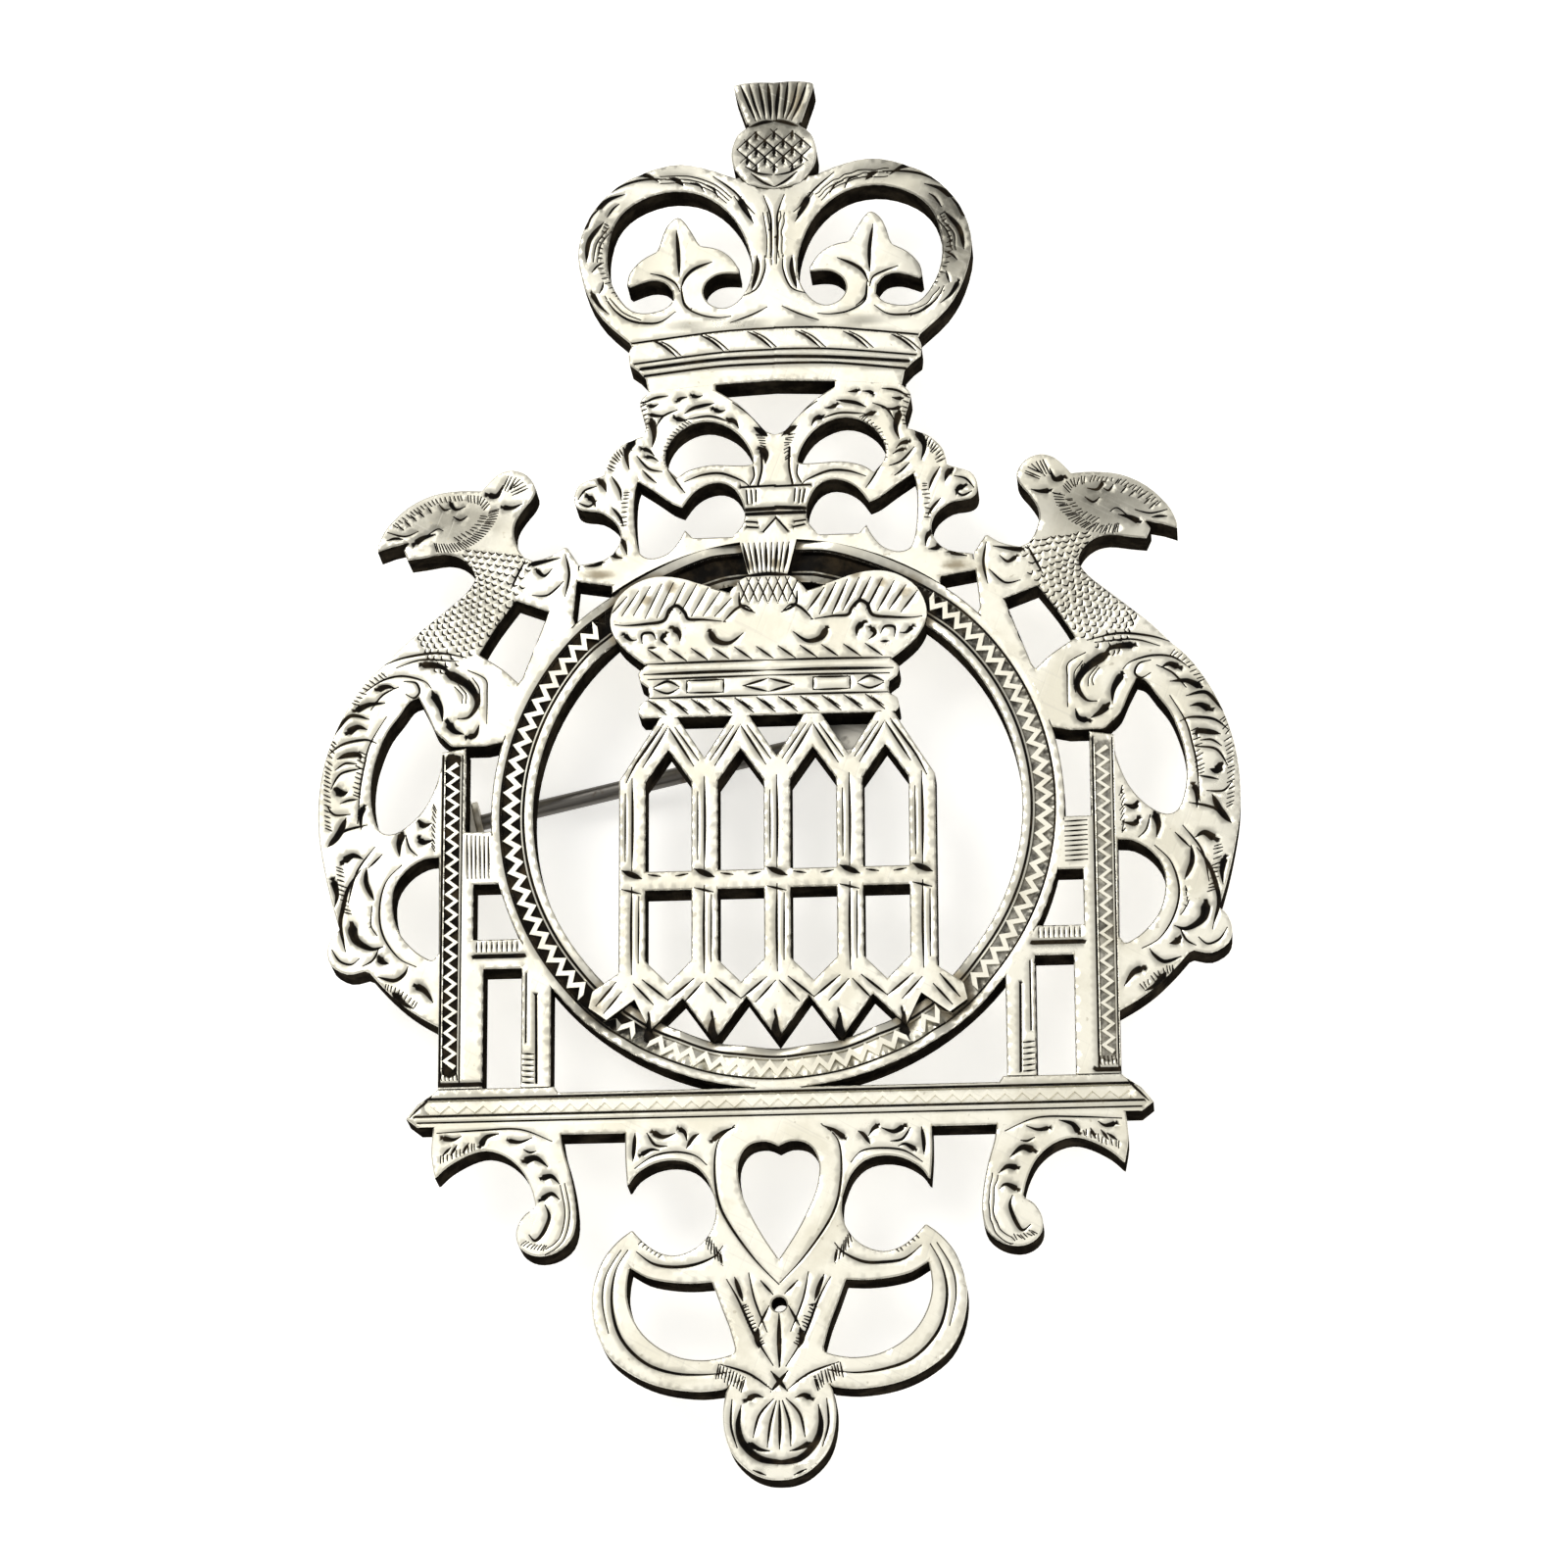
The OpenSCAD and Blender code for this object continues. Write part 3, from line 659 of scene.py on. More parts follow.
arches = {
    "limbs": [(0.14, [(-8.9, 31.75), (-7.9, 32.3), (-6.9, 32.55), (-5.7, 32.55)]),
              (0.24, [(-5.5, 32.6), (-5.1, 32.45), (-4.8, 32.15)]),
              (0.11, [(-3.2, 32.6), (-2, 31.6), (-1.3, 30.4)]),
              (0.26, [(-9.9, 28), (-9.75, 29.2), (-9, 30.2)]), (0.24, [(-0.9, 28), (-0.9, 27.2), (-1.2, 26.1)]),
              (0.1, [(-0.5, 28), (-0.5, 27.2), (-0.9, 26.2), (-1.6, 25.8)]),
              (0.12, [(-0.55, 31.4), (-0.2, 30.3), (-0.15, 29), (-0.15, 27.5)]),
              (0.1, [(-4.9, 26.1), (-4.7, 25.3), (-3.9, 24.8), (-3, 24.6), (-2.3, 24.65)]),
              (0.1, [(-2.3, 24.3), (-1.2, 24.7), (-0.4, 25.1)]),
              (0.13, [(-8.9, 26), (-8.4, 25.2), (-7.6, 24.6), (-6.6, 24.4), (-5.9, 24.5), (-5.2, 25)]),
              (0.12, [(-8.8, 30.5), (-8.5, 30.95), (-8.2, 31.2)]),
              (0.12, [(-9.6, 27.4), (-9.3, 27.75), (-9, 27.9)]),
              (0.12, [(-9.2, 26.2), (-9.05, 26.5), (-9, 26.8)])],
    "commas": [(0.32, [(-1.8, 31.2), (-1.5, 30.6), (-1.1, 29.9)]),
               (0.3, [(-9.3, 31.0), (-8.7, 31.5), (-7.9, 31.75)]),
               (0.26, [(-7.2, 32.9), (-6.6, 32.75), (-6.1, 32.4)]),
               (0.22, [(-9.95, 29.9), (-9.7, 30.5), (-9.2, 31.0)]),
               (0.24, [(-9.6, 26.2), (-9.2, 25.5), (-8.7, 25.0)])],
    "leafRibs": [(0.2, [(-5.15, 29.6), (-5.05, 28.3), (-5, 27)]),
                 (0.12, [(-6.5, 27.2), (-5.8, 27), (-5.2, 26.6), (-4.95, 26.1)]),
                 (0.18, [(-3.3, 27.75), (-4.2, 27.4), (-4.7, 26.9), (-4.9, 26.3)]),
                 (0.12, [(-4.9, 26.4), (-4.75, 25.5), (-4.3, 25)])],
}
engrave(arches["limbs"] + arches["leafRibs"])
engrave(arches["commas"], "comma")
parallels([[(-2.3, 31.3), (-1.9, 30.7), (-1.4, 30.1)]], 0.24, 2, 0.08)
parallels([[(-9.75, 28), (-9.55, 29.1), (-8.9, 30)]], -0.22, 2, 0.08)
hatch([(-8.0, 25.9), (-8.9, 27.3), (-9.05, 28.7), (-8.75, 30)], 0.28, 0.3, 0.07, 70)
parallels([[(-6.0, 32.9), (-4.4, 32.85), (-3.0, 32.3), (-2.1, 31.5)]], -0.2, 3, 0.07)
parallels([[(-9.0, 25.6), (-8.2, 24.7), (-7.2, 24.2)], [(-0.8, 30.4), (-0.6, 29.0), (-0.65, 27.9)]], 0.22, 2,
          0.06)
engrave([(0.11, [(-4.4, 32.3), (-3.95, 32.15), (-3.7, 31.75)]),
         (0.11, [(-3.6, 32.1), (-3.2, 31.9), (-2.95, 31.4)])])
greys += [(x * s, 24.2, 1.5, 0.35, 0.8) for x in (4.6, 1.4) for s in (-1, 1)]
greys += [(-8.8, 29.4, 2.4, 4.2, 0.85), (9.0, 29.4, 2.6, 4.6, 1.2)] + [(0, 29.6, 1.2, 3.2, 0.35),
        (-6.2, 32.8, 3.4, 1.0, 0.7), (6.2, 32.8, 3.4, 1.0, 0.9)]

circlet = {
    "bands": [(0.12, [(-7.3, 22.15), (-3, 22.62), (0, 22.72)]), (0.2, [(-7.0, 21.85), (-3, 22.25), (0, 22.32)]),
              (0.15, [(-6.8, 21.45), (-3, 21.85), (0, 21.93)]),
              (0.12, [(-7.45, 23.3), (-3, 23.8), (0, 23.92)])],
    "ropePitch": 2.5,
}
engrave(circlet["bands"], "blunt")
for n in range(6):
    x = -6.4 + n * circlet["ropePitch"]
    bend = 23.75 - 0.009 * (x + 0.5) ** 2
    for nudge in (0, 0.3):
        engrave([(0.08 if nudge else 0.14,
                  [(x + nudge, bend), (x + nudge + 0.6, bend - 0.35),
                   (x + nudge + 1.25, bend - 0.95)])], bothSides=False)
stains += [(6.6, 21.6, 1.2, 0.5, 0.5), (-6.6, 21.6, 0.8, 0.4, 0.4), (0, 21.2, 6.5, 0.22, 0.45)]

# neck scrolls

neck = {
    "lines": [(0.2, [(-4.7, 19.3), (-4.2, 19.6), (-3.2, 19.8)]),
              (0.11, [(-2.2, 19.8), (-1.2, 19), (-0.4, 17.9)]),
              (0.3, [(-1.1, 18.4), (-0.8, 18.2), (-0.4, 17.9)]),
              (0.13, [(-7.2, 17), (-6.6, 16.3), (-5.9, 16.1)]),
              (0.12, [(-6.9, 16.2), (-6.55, 15.8), (-6.2, 15.5)]),
              (0.11, [(-5.6, 16.2), (-5, 15.3), (-4.7, 14.9)]),
              (0.14, [(-4.7, 15.5), (-3.8, 15.85), (-2.8, 15.9), (-1.8, 15.5), (-1.4, 15.2)]),
              (0.15, [(-8.5, 15.9), (-8.1, 15.2), (-8, 14.6)]),
              (0.16, [(-8.5, 14.2), (-8.1, 13.7), (-7.9, 13.2)]),
              (0.14, [(-6.9, 19.9), (-6.3, 20.2), (-5.6, 20.3)]),
              (0.12, [(-10.25, 14.7), (-9.9, 15.2), (-9.3, 15.4)]),
              (0.13, [(-10.2, 14.5), (-9.7, 14.3), (-9.3, 14.6)]),
              (0.12, [(-6.2, 18.6), (-5.8, 19.2), (-5.1, 19.5)]),
              (0.12, [(-4.6, 18.95), (-3.4, 19.1), (-2.4, 18.75)])],
    "commas": [(0.3, [(-2.45, 18.9), (-2.1, 18.75), (-1.9, 18.4)]),
               (0.36, [(-6.45, 19.0), (-6.3, 18.2), (-6.4, 17.5)]),
               (0.24, [(-6.9, 17.4), (-6.6, 17.3), (-6.3, 17)]),
               (0.2, [(-6.75, 16.95), (-6.4, 16.9), (-6.1, 16.7)]),
               (0.36, [(-7.35, 17.9), (-7.75, 17.2), (-7.6, 16.3)]),
               (0.34, [(-9.75, 14.85), (-9.5, 14.65), (-9.35, 14.3)]),
               (0.36, [(-9.2, 15.75), (-8.95, 15.5), (-8.8, 15.1)]),
               (0.26, [(-7.95, 12.4), (-7.8, 12), (-7.7, 11.6)]),
               (0.3, [(-8.5, 11.75), (-8.3, 11.5), (-7.95, 11.4)]),
               (0.24, [(-9, 11.2), (-9.4, 11.05), (-9.9, 11)]),
               (0.22, [(-6.6, 19.8), (-6.35, 19.75), (-6.1, 19.85)]),
               (0.2, [(-6.55, 19.3), (-6.1, 19.2), (-5.6, 19.25)]),
               (0.22, [(-5.1, 20.0), (-4.9, 20.15), (-4.6, 20.2)]),
               (0.22, [(-4.35, 20.3), (-4.1, 20.2), (-3.8, 20.25)]),
               (0.3, [(-5.2, 19.05), (-4.9, 18.95), (-4.6, 18.9)]),
               (0.26, [(-3.2, 19.5), (-2.9, 19.35), (-2.6, 19.4)])],
    "collar": [(0.13, [(-1.75, 15.1), (0, 15.15)]), (0.22, [(-1.5, 13.85), (0, 13.9)]),
               (0.2, [(-1.5, 13.6), (0, 13.62)]),
               (0.11, [(-1.5, 14.9), (-1.45, 14.2)]), (0.1, [(-1.25, 14.9), (-1.2, 14.2)]),
               (0.1, [(-1.0, 14.9), (-1.0, 14.3)]),
               (0.12, [(-1.5, 13.2), (-1.0, 13.15)]), (0.12, [(-1.45, 12.9), (-0.95, 12.85)]),
               (0.13, [(-0.75, 17.2), (-0.7, 16.1), (-0.9, 15.2)]),
               (0.1, [(-1.15, 16.2), (-1.1, 15.7), (-1.3, 15.25)]),
               (0.12, [(-0.6, 12.65), (0, 13.35)])],
}
engrave(neck["lines"])
engrave(neck["commas"], "comma")
engrave(neck["collar"], "blunt")
engrave([(0.4, [(-0.75, 17.2), (-0.5, 16.9), (-0.5, 16.4)])], "comma", bothSides=False)
hatch([(-8.75, 16.4), (-8.5, 17), (-8.1, 17.4), (-7.6, 17.7)], 0.42, 0.28, 0.09, -100)
hatch([(-1.0, 18.0), (-0.75, 17.4), (-0.8, 16.8)], 0.32, 0.16, 0.06, 60)
hatch([(-7.0, 18.3), (-7.0, 19.2), (-7.1, 19.9)], 0.4, 0.26, 0.08, -75)
hatch([(-7.75, 13.2), (-7.7, 14.2), (-7.6, 15)], 0.3, 0.26, 0.07, 100)
hatch([(-5.5, 16.5), (-5.55, 17.3), (-5.1, 18.2), (-4.4, 18.75)], 0.25, 0.22, 0.06, 110)
stains += [(0, 13.75, 1.5, 0.35, 0.6), (-2.7, 20.4, 0.4, 0.15, 0.7), (2.4, 20.4, 0.5, 0.15, 0.5)]
stains += [(s * 9.2, 10.5, 1.2, 0.4, 0.9) for s in (-1, 1)]
print("upper cuts laid out:", len(cuts))

# small crown

smallCrown = {"left": -0.4}
crownLines = [
    (0.18, [(-7.9, 7.75), (-7.3, 7.7), (-6.4, 7.75), (-5.4, 7.9), (-5.1, 8.5), (-4.7, 8.7), (-4.3, 8.3),
            (-4.1, 7.95), (-3.3, 7.9), (-2.2, 7.75)]),
    (0.15, [(-6.5, 6.7), (-6.5, 7.2), (-6.0, 7.25), (-5.8, 6.9)]), (0.14, [(-6.2, 6.45), (-5.8, 6.45)]),
    (0.14, [(-2.3, 7.75), (-1.7, 8.4), (-1.2, 8.6), (-0.8, 8.3)]), (0.13, [(-6.4, 5.55), (-3, 5.6), (0, 5.6)]),
    (0.17, [(-6.4, 5.0), (-3, 5.05), (0, 5.05)]), (0.12, [(-6.3, 3.7), (-3, 3.72), (0, 3.72)]),
    (0.12, [(-6.2, 4.72), (-3, 4.76), (0, 4.78)]), (0.13, [(-1.3, 4.25), (0, 4.62)]),
    (0.13, [(-1.3, 4.25), (0, 3.9)]),
    (0.11, [(-4.2, 4.6), (-2.3, 4.62)]), (0.11, [(-4.2, 3.95), (-2.3, 3.93)]),
    (0.11, [(-4.2, 4.6), (-4.2, 3.95)]),
    (0.11, [(-2.3, 4.62), (-2.3, 3.93)]), (0.14, [(-5.9, 4.3), (-5.2, 4.6), (-4.6, 4.3)]),
    (0.12, [(-5.9, 4.2), (-5.2, 3.95), (-4.6, 4.2)]),
]
crownCommas = [
    (0.32, [(-3.0, 7.25), (-2.7, 6.75), (-2.0, 6.6), (-1.3, 7.1)]),
    (0.34, [(-4.9, 7.5), (-4.6, 7.2), (-4.55, 6.8)]),
    (0.26, [(-5.3, 7.2), (-5.5, 6.9), (-5.2, 6.6)]),
    (0.24, [(-7.4, 7.2), (-7.1, 6.9), (-6.8, 6.9)]),
]
leftShift = smallCrown["left"]
for lines, kind in ((crownLines, "taper"), (crownCommas, "comma")):
    for s in (1, -1):
        engrave([(w, [(s * x + leftShift, y) for x, y in p]) for w, p in lines], kind, bothSides=False)
for n in range(26):
    # slanting cuts over both bulges
    x = -7.6 + n * 0.6
    if abs(x + leftShift) < 2.0:
        continue
    crest = 9.95 - 0.11 * (abs(x + 0.2) - 4.9) ** 2
    width = 0.085 if x < 0 else 0.13
    engrave([(width, [(x - 0.55 + leftShift, 8.0 + random.uniform(-0.1, 0.3)), (x + 0.3 + leftShift, crest)])],
            bothSides=False)
for n in range(11):
    # long slanting cuts turn the two bands into ropes
    x = -6.2 + n * 1.12
    engrave([(0.12, [(x + leftShift, 3.6), (x + 0.45 + leftShift, 3.25), (x + 0.95 + leftShift, 2.8)]),
             (0.07, [(x + 0.3 + leftShift, 3.5), (x + 0.9 + leftShift, 3.0)]),
             (0.12, [(x + leftShift, 6.35), (x + 0.85 + leftShift, 5.7)])], bothSides=False)
for n in range(9):
    engrave([(0.1 if n % 2 else 0.16,
              [(-1.3 + n * 0.3 + leftShift, 12.0), (-0.95 + n * 0.22 + leftShift, 10.4)])], bothSides=False)
for n in range(6):
    # lattice on the bulb
    engrave([(0.085, [(-1.5 + n * 0.5 + leftShift, 8.7), (-0.9 + n * 0.5 + leftShift, 10.1)]),
             (0.085, [(1.5 - n * 0.5 + leftShift, 8.7), (0.9 - n * 0.5 + leftShift, 10.1)])], bothSides=False)
engrave([(0.2, [(-1.2 + leftShift, 10.2), (leftShift, 10.3), (1.2 + leftShift, 10.2)]),
         (0.14, [(-1.9, 9.3), (-1.8, 8.6), (-1.1, 8.2)]), (0.14, [(1.1, 9.3), (1.0, 8.6), (0.3, 8.2)])],
         bothSides=False)
stains += [(-6.6, 9.7, 1.2, 0.4, 0.12), (0.0, 10.2, 1.4, 0.3, 0.35), (4.6, 3.2, 3, 0.5, 0.2)]

# ring

ring = {"y": -2.45, "outerLine": 14.17, "channelR": 13.62, "channelW": 0.98, "innerLine": 12.98, "depth": 0.13}


def arc(radius, first=0, last=360, count=120):
    return [(radius * math.cos(math.radians(first + (last - first) * k / count)),
             ring["y"] + radius * math.sin(math.radians(first + (last - first) * k / count))) for k in range(count + 1)]


def ringShade(points):
    # the left side keeps its black; the right side and the foot are rubbed nearly clean
    side = 0.86 - 0.64 / (1 + np.exp(-(points[:, 0] - 3) / 3.0))
    return side * (0.1 + 0.9 / (1 + np.exp(-(points[:, 1] + 12.5) / 1.2)))


engrave([(0.12, arc(ring["outerLine"])), (0.14, arc(ring["innerLine"]))], "blunt", bothSides=False,
        only=["ring"])
channel(arc(ring["channelR"], count=240), ring["channelW"], ring["depth"], ringShade, only=["ring"])
# the hollow under the crown's top, left dark and brown
channel(arc(13.3, 60, 120, 40), 1.5, 0.34, 0.16, only=["ring"])
stains += [(13.3 * math.cos(math.radians(60 + 6 * n)), ring["y"] + 13.3 * math.sin(math.radians(60 + 6 * n)),
            0.5, 0.45, 0.95) for n in range(11)]
for n in range(16):
    # brown bloom low in the ring
    turn = math.radians(215 + n * 7.2)
    stains.append((13.4 * math.cos(turn), ring["y"] + 13.4 * math.sin(turn), 1.3, 0.9,
                   random.uniform(0.2, 0.45)))

# tracery

tracery = {"pitch": 3.7, "barW": 1.35, "low": -10.7, "high": 0.0}
for n in range(-2, 3):
    x = n * tracery["pitch"]
    engrave([(0.13, [(x, -0.6), (x + 0.03, -3), (x, -5.5)]), (0.13, [(x, -6.4), (x - 0.03, -8.6), (x, -11.0)]),
             (0.09, [(x - 0.34, -1.4), (x - 0.34, -5.0)]), (0.09, [(x + 0.36, -6.9), (x + 0.34, -10.4)]),
             (0.3, [(x - 0.5, -5.5), (x + 0.5, -5.95)]), (0.12, [(x - 0.5, -6.5), (x + 0.45, -6.75)])],
             bothSides=False)
for n in (-1.5, -0.5, 0.5, 1.5):
    x = n * tracery["pitch"]
    for s in (-1, 1):
        engrave([(0.13, [(x, 2.15), (x + s * 1.3, 0.0)]), (0.09, [(x + s * 0.35, 2.1), (x + s * 1.55, 0.3)]),
                 (0.12, [(x + s * 1.75, -11.5), (x + s * 0.75, -12.6)]),
                 (0.13, [(x + s * 1.3, -11.3), (x, -12.4)]),
                 (0.11, [(x - s * 1.0, -5.75), (x - s * 0.4, -5.85)])], bothSides=False)
for n in range(-4, 5):
    x = n * 1.6
    engrave([(0.2 if n % 2 else 0.13, [(x - 0.15, -13.0), (x, -14.0)])], "comma", bothSides=False)
for x in (-6.45, -3.22, 0, 3.22, 6.45):
    # the tips of the teeth are filed down and dark
    engrave([(0.5, [(x, -14.5), (x - 0.12, -14.0), (x - 0.05, -13.3)])], "comma", bothSides=False)
engrave([(0.14, [(-8.2, -11.4), (-9.2, -12.6)]),
         (0.12, [(-7.9, -11.9), (-8.8, -13.0)]), (0.12, [(-7.7, -0.8), (-7.1, 0.4), (-5.8, 2.3)])])
stains += [(x, -13.8, 0.7, 0.8, 0.6) for x in (-6.3, -3.2, 0, 3.2, 6.3)] + [(s * 9.2, -12.7, 0.9, 0.9,
        0.6) for s in (-1, 1)]

# supporters

heads = {
    "lines": [(0.12, [(-17.5, 14.65), (-17.25, 14.35), (-16.95, 14.4)]),
              (0.12, [(-16.75, 13.95), (-16.4, 13.75), (-16.05, 13.95)]),
              (0.08, [(-18.2, 12.9), (-17.6, 13.3), (-17.3, 13.2)]),
              (0.15, [(-20.2, 12.75), (-19.8, 12.85), (-19.4, 12.8)]),
              (0.1, [(-20.2, 13.2), (-19.3, 12.95), (-18.6, 13.2)]), (0.1, [(-19.6, 13.5), (-19.35, 13.3)]),
              (0.1, [(-19.3, 13.8), (-19.0, 13.5)]),
              (0.1, [(-19.0, 14.1), (-18.7, 13.8)]), (0.1, [(-18.6, 14.3), (-18.3, 14.0)]),
              (0.1, [(-18.1, 14.5), (-17.9, 14.2)]),
              (0.13, [(-20.3, 5.9), (-19.2, 6.3), (-17.5, 6.5), (-16, 6.2)]),
              (0.1, [(-19.6, 5.75), (-18.3, 6.15), (-16.4, 6.0)])],
    "commas": [(0.32, [(-18.75, 12.55), (-18.3, 12.85), (-17.7, 13.0)]),
               (0.32, [(-14.95, 15.1), (-14.5, 15.05), (-14.2, 15.6)]),
               (0.28, [(-14.2, 14.4), (-13.7, 14.35), (-13.2, 14.55)]),
               (0.22, [(-16.95, 14.75), (-16.65, 14.35), (-16.15, 14.5)])],
}
engrave(heads["lines"])
engrave(heads["commas"], "comma")
hatch([(-17.6, 12.05), (-17.0, 12.0), (-16.2, 12.15), (-15.3, 12.7), (-14.6, 13.6), (-14.4, 14.3)], 0.5, 0.17,
      0.065, 115)
hatch([(-16.4, 12.6), (-15.6, 13.1), (-15.0, 13.9)], 0.35, 0.24, 0.045, 115)
hatch([(-13.9, 16.1), (-13.3, 15.9), (-12.9, 15.4)], 0.9, 0.22, 0.08, -100)
hatch([(-16.0, 15.1), (-15.3, 15.0), (-14.9, 14.6)], 0.4, 0.2, 0.06, -80)
hatch([(-19.9, 13.6), (-19.0, 14.3), (-17.7, 14.95), (-16.4, 15.1)], 0.3, 0.24, 0.05, -75)
# overlapping scales down the neck
neckPath = throughPoints([(-14.5, 12.1), (-14.8, 10.6), (-15.6, 9.3), (-17.2, 7.6), (-18.4, 6.9)], 0.31)
for i in range(1, len(neckPath) - 1):
    run = neckPath[i + 1] - neckPath[i - 1]
    run = run / np.linalg.norm(run)
    side = np.array([-run[1], run[0]])
    for n in range(-4, 5):
        mid = neckPath[i] + side * (n + 0.5 * (i % 2)) * 0.4
        mid = mid + side * random.uniform(-0.05, 0.05)
        engrave([(0.095, [tuple(mid - side * 0.15), tuple(mid + run * 0.1),
                          tuple(mid + side * 0.13 + run * 0.02)])])

bodies = {
    "lines": [(0.12, [(-21.2, 4.5), (-20.3, 5.1), (-19.3, 5.3), (-18.2, 5), (-17.8, 4.6)]),
              (0.1, [(-20.1, 3.1), (-20.9, 1.7), (-21.2, 0.5), (-21.4, -0.8), (-21.5, -2.6)]),
              (0.2, [(-22.8, 2.2), (-22, 3.2), (-21, 3)]),
              (0.15, [(-23, 1.2), (-22.3, 1.7), (-21.2, 1.9), (-20.6, 1.7)]),
              (0.3, [(-22.6, 0.9), (-22.1, 1.1), (-21.5, 1.1), (-21.4, 0.8)]),
              (0.13, [(-22.9, -0.7), (-22.4, 0.1), (-21.3, 0.35)]),
              (0.13, [(-22.4, -1.5), (-22, -1.35), (-21.5, -1.3)]),
              (0.34, [(-23, -3.8), (-22.5, -3.2), (-22.1, -2.3)]),
              (0.15, [(-22.9, -3.7), (-22.2, -3), (-21, -2.7)]),
              (0.08, [(-15.9, 5.5), (-15, 5), (-14.9, 4.2), (-14.9, 2.6)]),
              (0.12, [(-23.1, -1.6), (-22.7, -2.1), (-21.9, -2.1)]),
              (0.12, [(-19.2, 5.0), (-18.6, 4.9), (-18.4, 4.4), (-18.7, 4.1), (-19.1, 4.3)]),
              (0.12, [(-22.7, 0.3), (-22.2, 0.65), (-21.6, 0.6)]),
              (0.11, [(-20.9, 3.5), (-20.3, 4.3), (-19.5, 4.7)])],
    "commas": [(0.26, [(-21.7, 3.5), (-21, 3.8), (-20.2, 3.85)]),
               (0.36, [(-17, 5.4), (-15.9, 4.7), (-15.4, 3.8), (-15.8, 3.0), (-16.4, 2.9)]),
               (0.32, [(-16.9, 2.7), (-16.6, 2.25), (-16.1, 2.05)]),
               (0.42, [(-22.6, -0.75), (-22.35, -0.95), (-22.05, -0.9)]),
               (0.3, [(-17.7, 4.3), (-17.3, 3.5), (-17.2, 2.8)]),
               (0.28, [(-18.3, 5.9), (-17.3, 5.75), (-16.7, 5.2)]),
               (0.26, [(-15.9, 1.9), (-15.5, 2.0), (-15.3, 2.5)]),
               (0.3, [(-22.1, 2.3), (-21.6, 2.6), (-21.1, 2.45)]),
               (0.28, [(-20.6, 4.6), (-20.1, 4.75), (-19.7, 4.65)]),
               (0.24, [(-21.2, -1.7), (-21.35, -2.2), (-21.3, -2.9)])],
    "tailLines": [(0.22, [(-21.3, -5.1), (-21.9, -6), (-22.2, -7.2), (-22.3, -8), (-22.1, -9), (-22, -9.4)]),
                  (0.11, [(-20.6, -3.9), (-21.5, -5.2), (-21.9, -6.8)]),
                  (0.25, [(-21, -5), (-21, -5.8), (-20.6, -6.7)]),
                  (0.1, [(-19, -3.3), (-18.8, -4), (-18.4, -4.4)]),
                  (0.11, [(-19.2, -4.9), (-20, -5.8), (-20.3, -7.2), (-20.1, -8.6), (-19.3, -9.8),
                          (-18.4, -10.3)]),
                  (0.2, [(-20.3, -10.8), (-19.5, -11), (-19, -10.7), (-18.8, -10.3)]),
                  (0.12, [(-22.7, -9.3), (-22.3, -9.9), (-21.7, -10.1), (-21.3, -9.8)]),
                  (0.12, [(-20.2, -4.3), (-20.9, -5.0)]),
                  (0.12, [(-21.1, -10.2), (-20.6, -9.9), (-20.3, -9.3)])],
    "tailCommas": [(0.3, [(-22.2, -4.6), (-21.7, -4.3), (-21.2, -4.5)]),
                   (0.3, [(-19.2, -3.2), (-19.35, -3.8), (-19.3, -4.4)]),
                   (0.36, [(-21.7, -8), (-21.5, -8.8), (-20.7, -9.3), (-20.1, -9.2)]),
                   (0.32, [(-20.3, -9.75), (-20.1, -10.0), (-19.8, -10.1)]),
                   (0.28, [(-19.5, -11.7), (-19, -12.2), (-18.5, -12.5)]),
                   (0.28, [(-18.3, -2.6), (-18.1, -2.8), (-17.7, -2.7)]),
                   (0.26, [(-18.3, -3.5), (-18.1, -3.7), (-17.6, -3.6)]),
                   (0.28, [(-18.4, -11.3), (-17.9, -11.6), (-17.5, -12.2)]),
                   (0.26, [(-22.7, -5.6), (-22.5, -6.4), (-22.6, -7.0)])],
}
engrave(bodies["lines"] + bodies["tailLines"])
engrave([(w * 1.25, p) for w, p in bodies["commas"] + bodies["tailCommas"]], "comma")
parallels([[(-15.5, 5.2), (-15.1, 4.5), (-15.1, 3.4)], [(-16.3, 4.9), (-15.8, 4.3), (-15.8, 3.7)]], -0.2, 2,
          0.06)
hatch([(-20.7, -7.3), (-20.7, -8.1), (-20.4, -8.6)], 0.3, 0.25, 0.07, 180)
hatch([(-22.9, 1.9), (-23.2, 0.5), (-23.25, -1.0), (-23.15, -2.8)], 0.35, 0.3, 0.08, 60)
hatch([(-21.9, 3.9), (-21.2, 4.9), (-20.4, 5.5)], 0.35, 0.26, 0.07, -75)
hatch([(-21.15, 1.1), (-21.3, 0.0), (-21.4, -1.2)], 0.4, 0.28, 0.07, -110)
hatch([(-22.55, -4.9), (-22.4, -6.1), (-22.15, -7.3)], 0.4, 0.28, 0.08, 60)
hatch([(-19.9, -11.2), (-19.2, -11.5), (-18.3, -12.2)], 0.35, 0.24, 0.07, -80)
hatch([(-17.45, -2.0), (-17.5, -3.2), (-17.5, -4.2)], 0.35, 0.26, 0.07, -150)
clips = {
    "commas": [(0.26, [(-12.7, 11.2), (-12.2, 11.3), (-11.2, 11.5)]),
               (0.22, [(-12.4, 10.9), (-12, 10.55), (-11.6, 10.9)])],
    "lines": [(0.13, [(-13, 11.4), (-13.4, 10.6), (-13.7, 9.9)]),
              (0.12, [(-12.6, 9.5), (-11.8, 9.5), (-11, 10.2)]),
              (0.14, [(-10.9, 11.7), (-10.7, 10.6), (-10.9, 9.4)])],
}
engrave(clips["lines"])
engrave(clips["commas"], "comma")
parallels([[(-12.3, 8.8), (-12.9, 7.2), (-13.7, 5.4)]], 0.3, 2, 0.06)
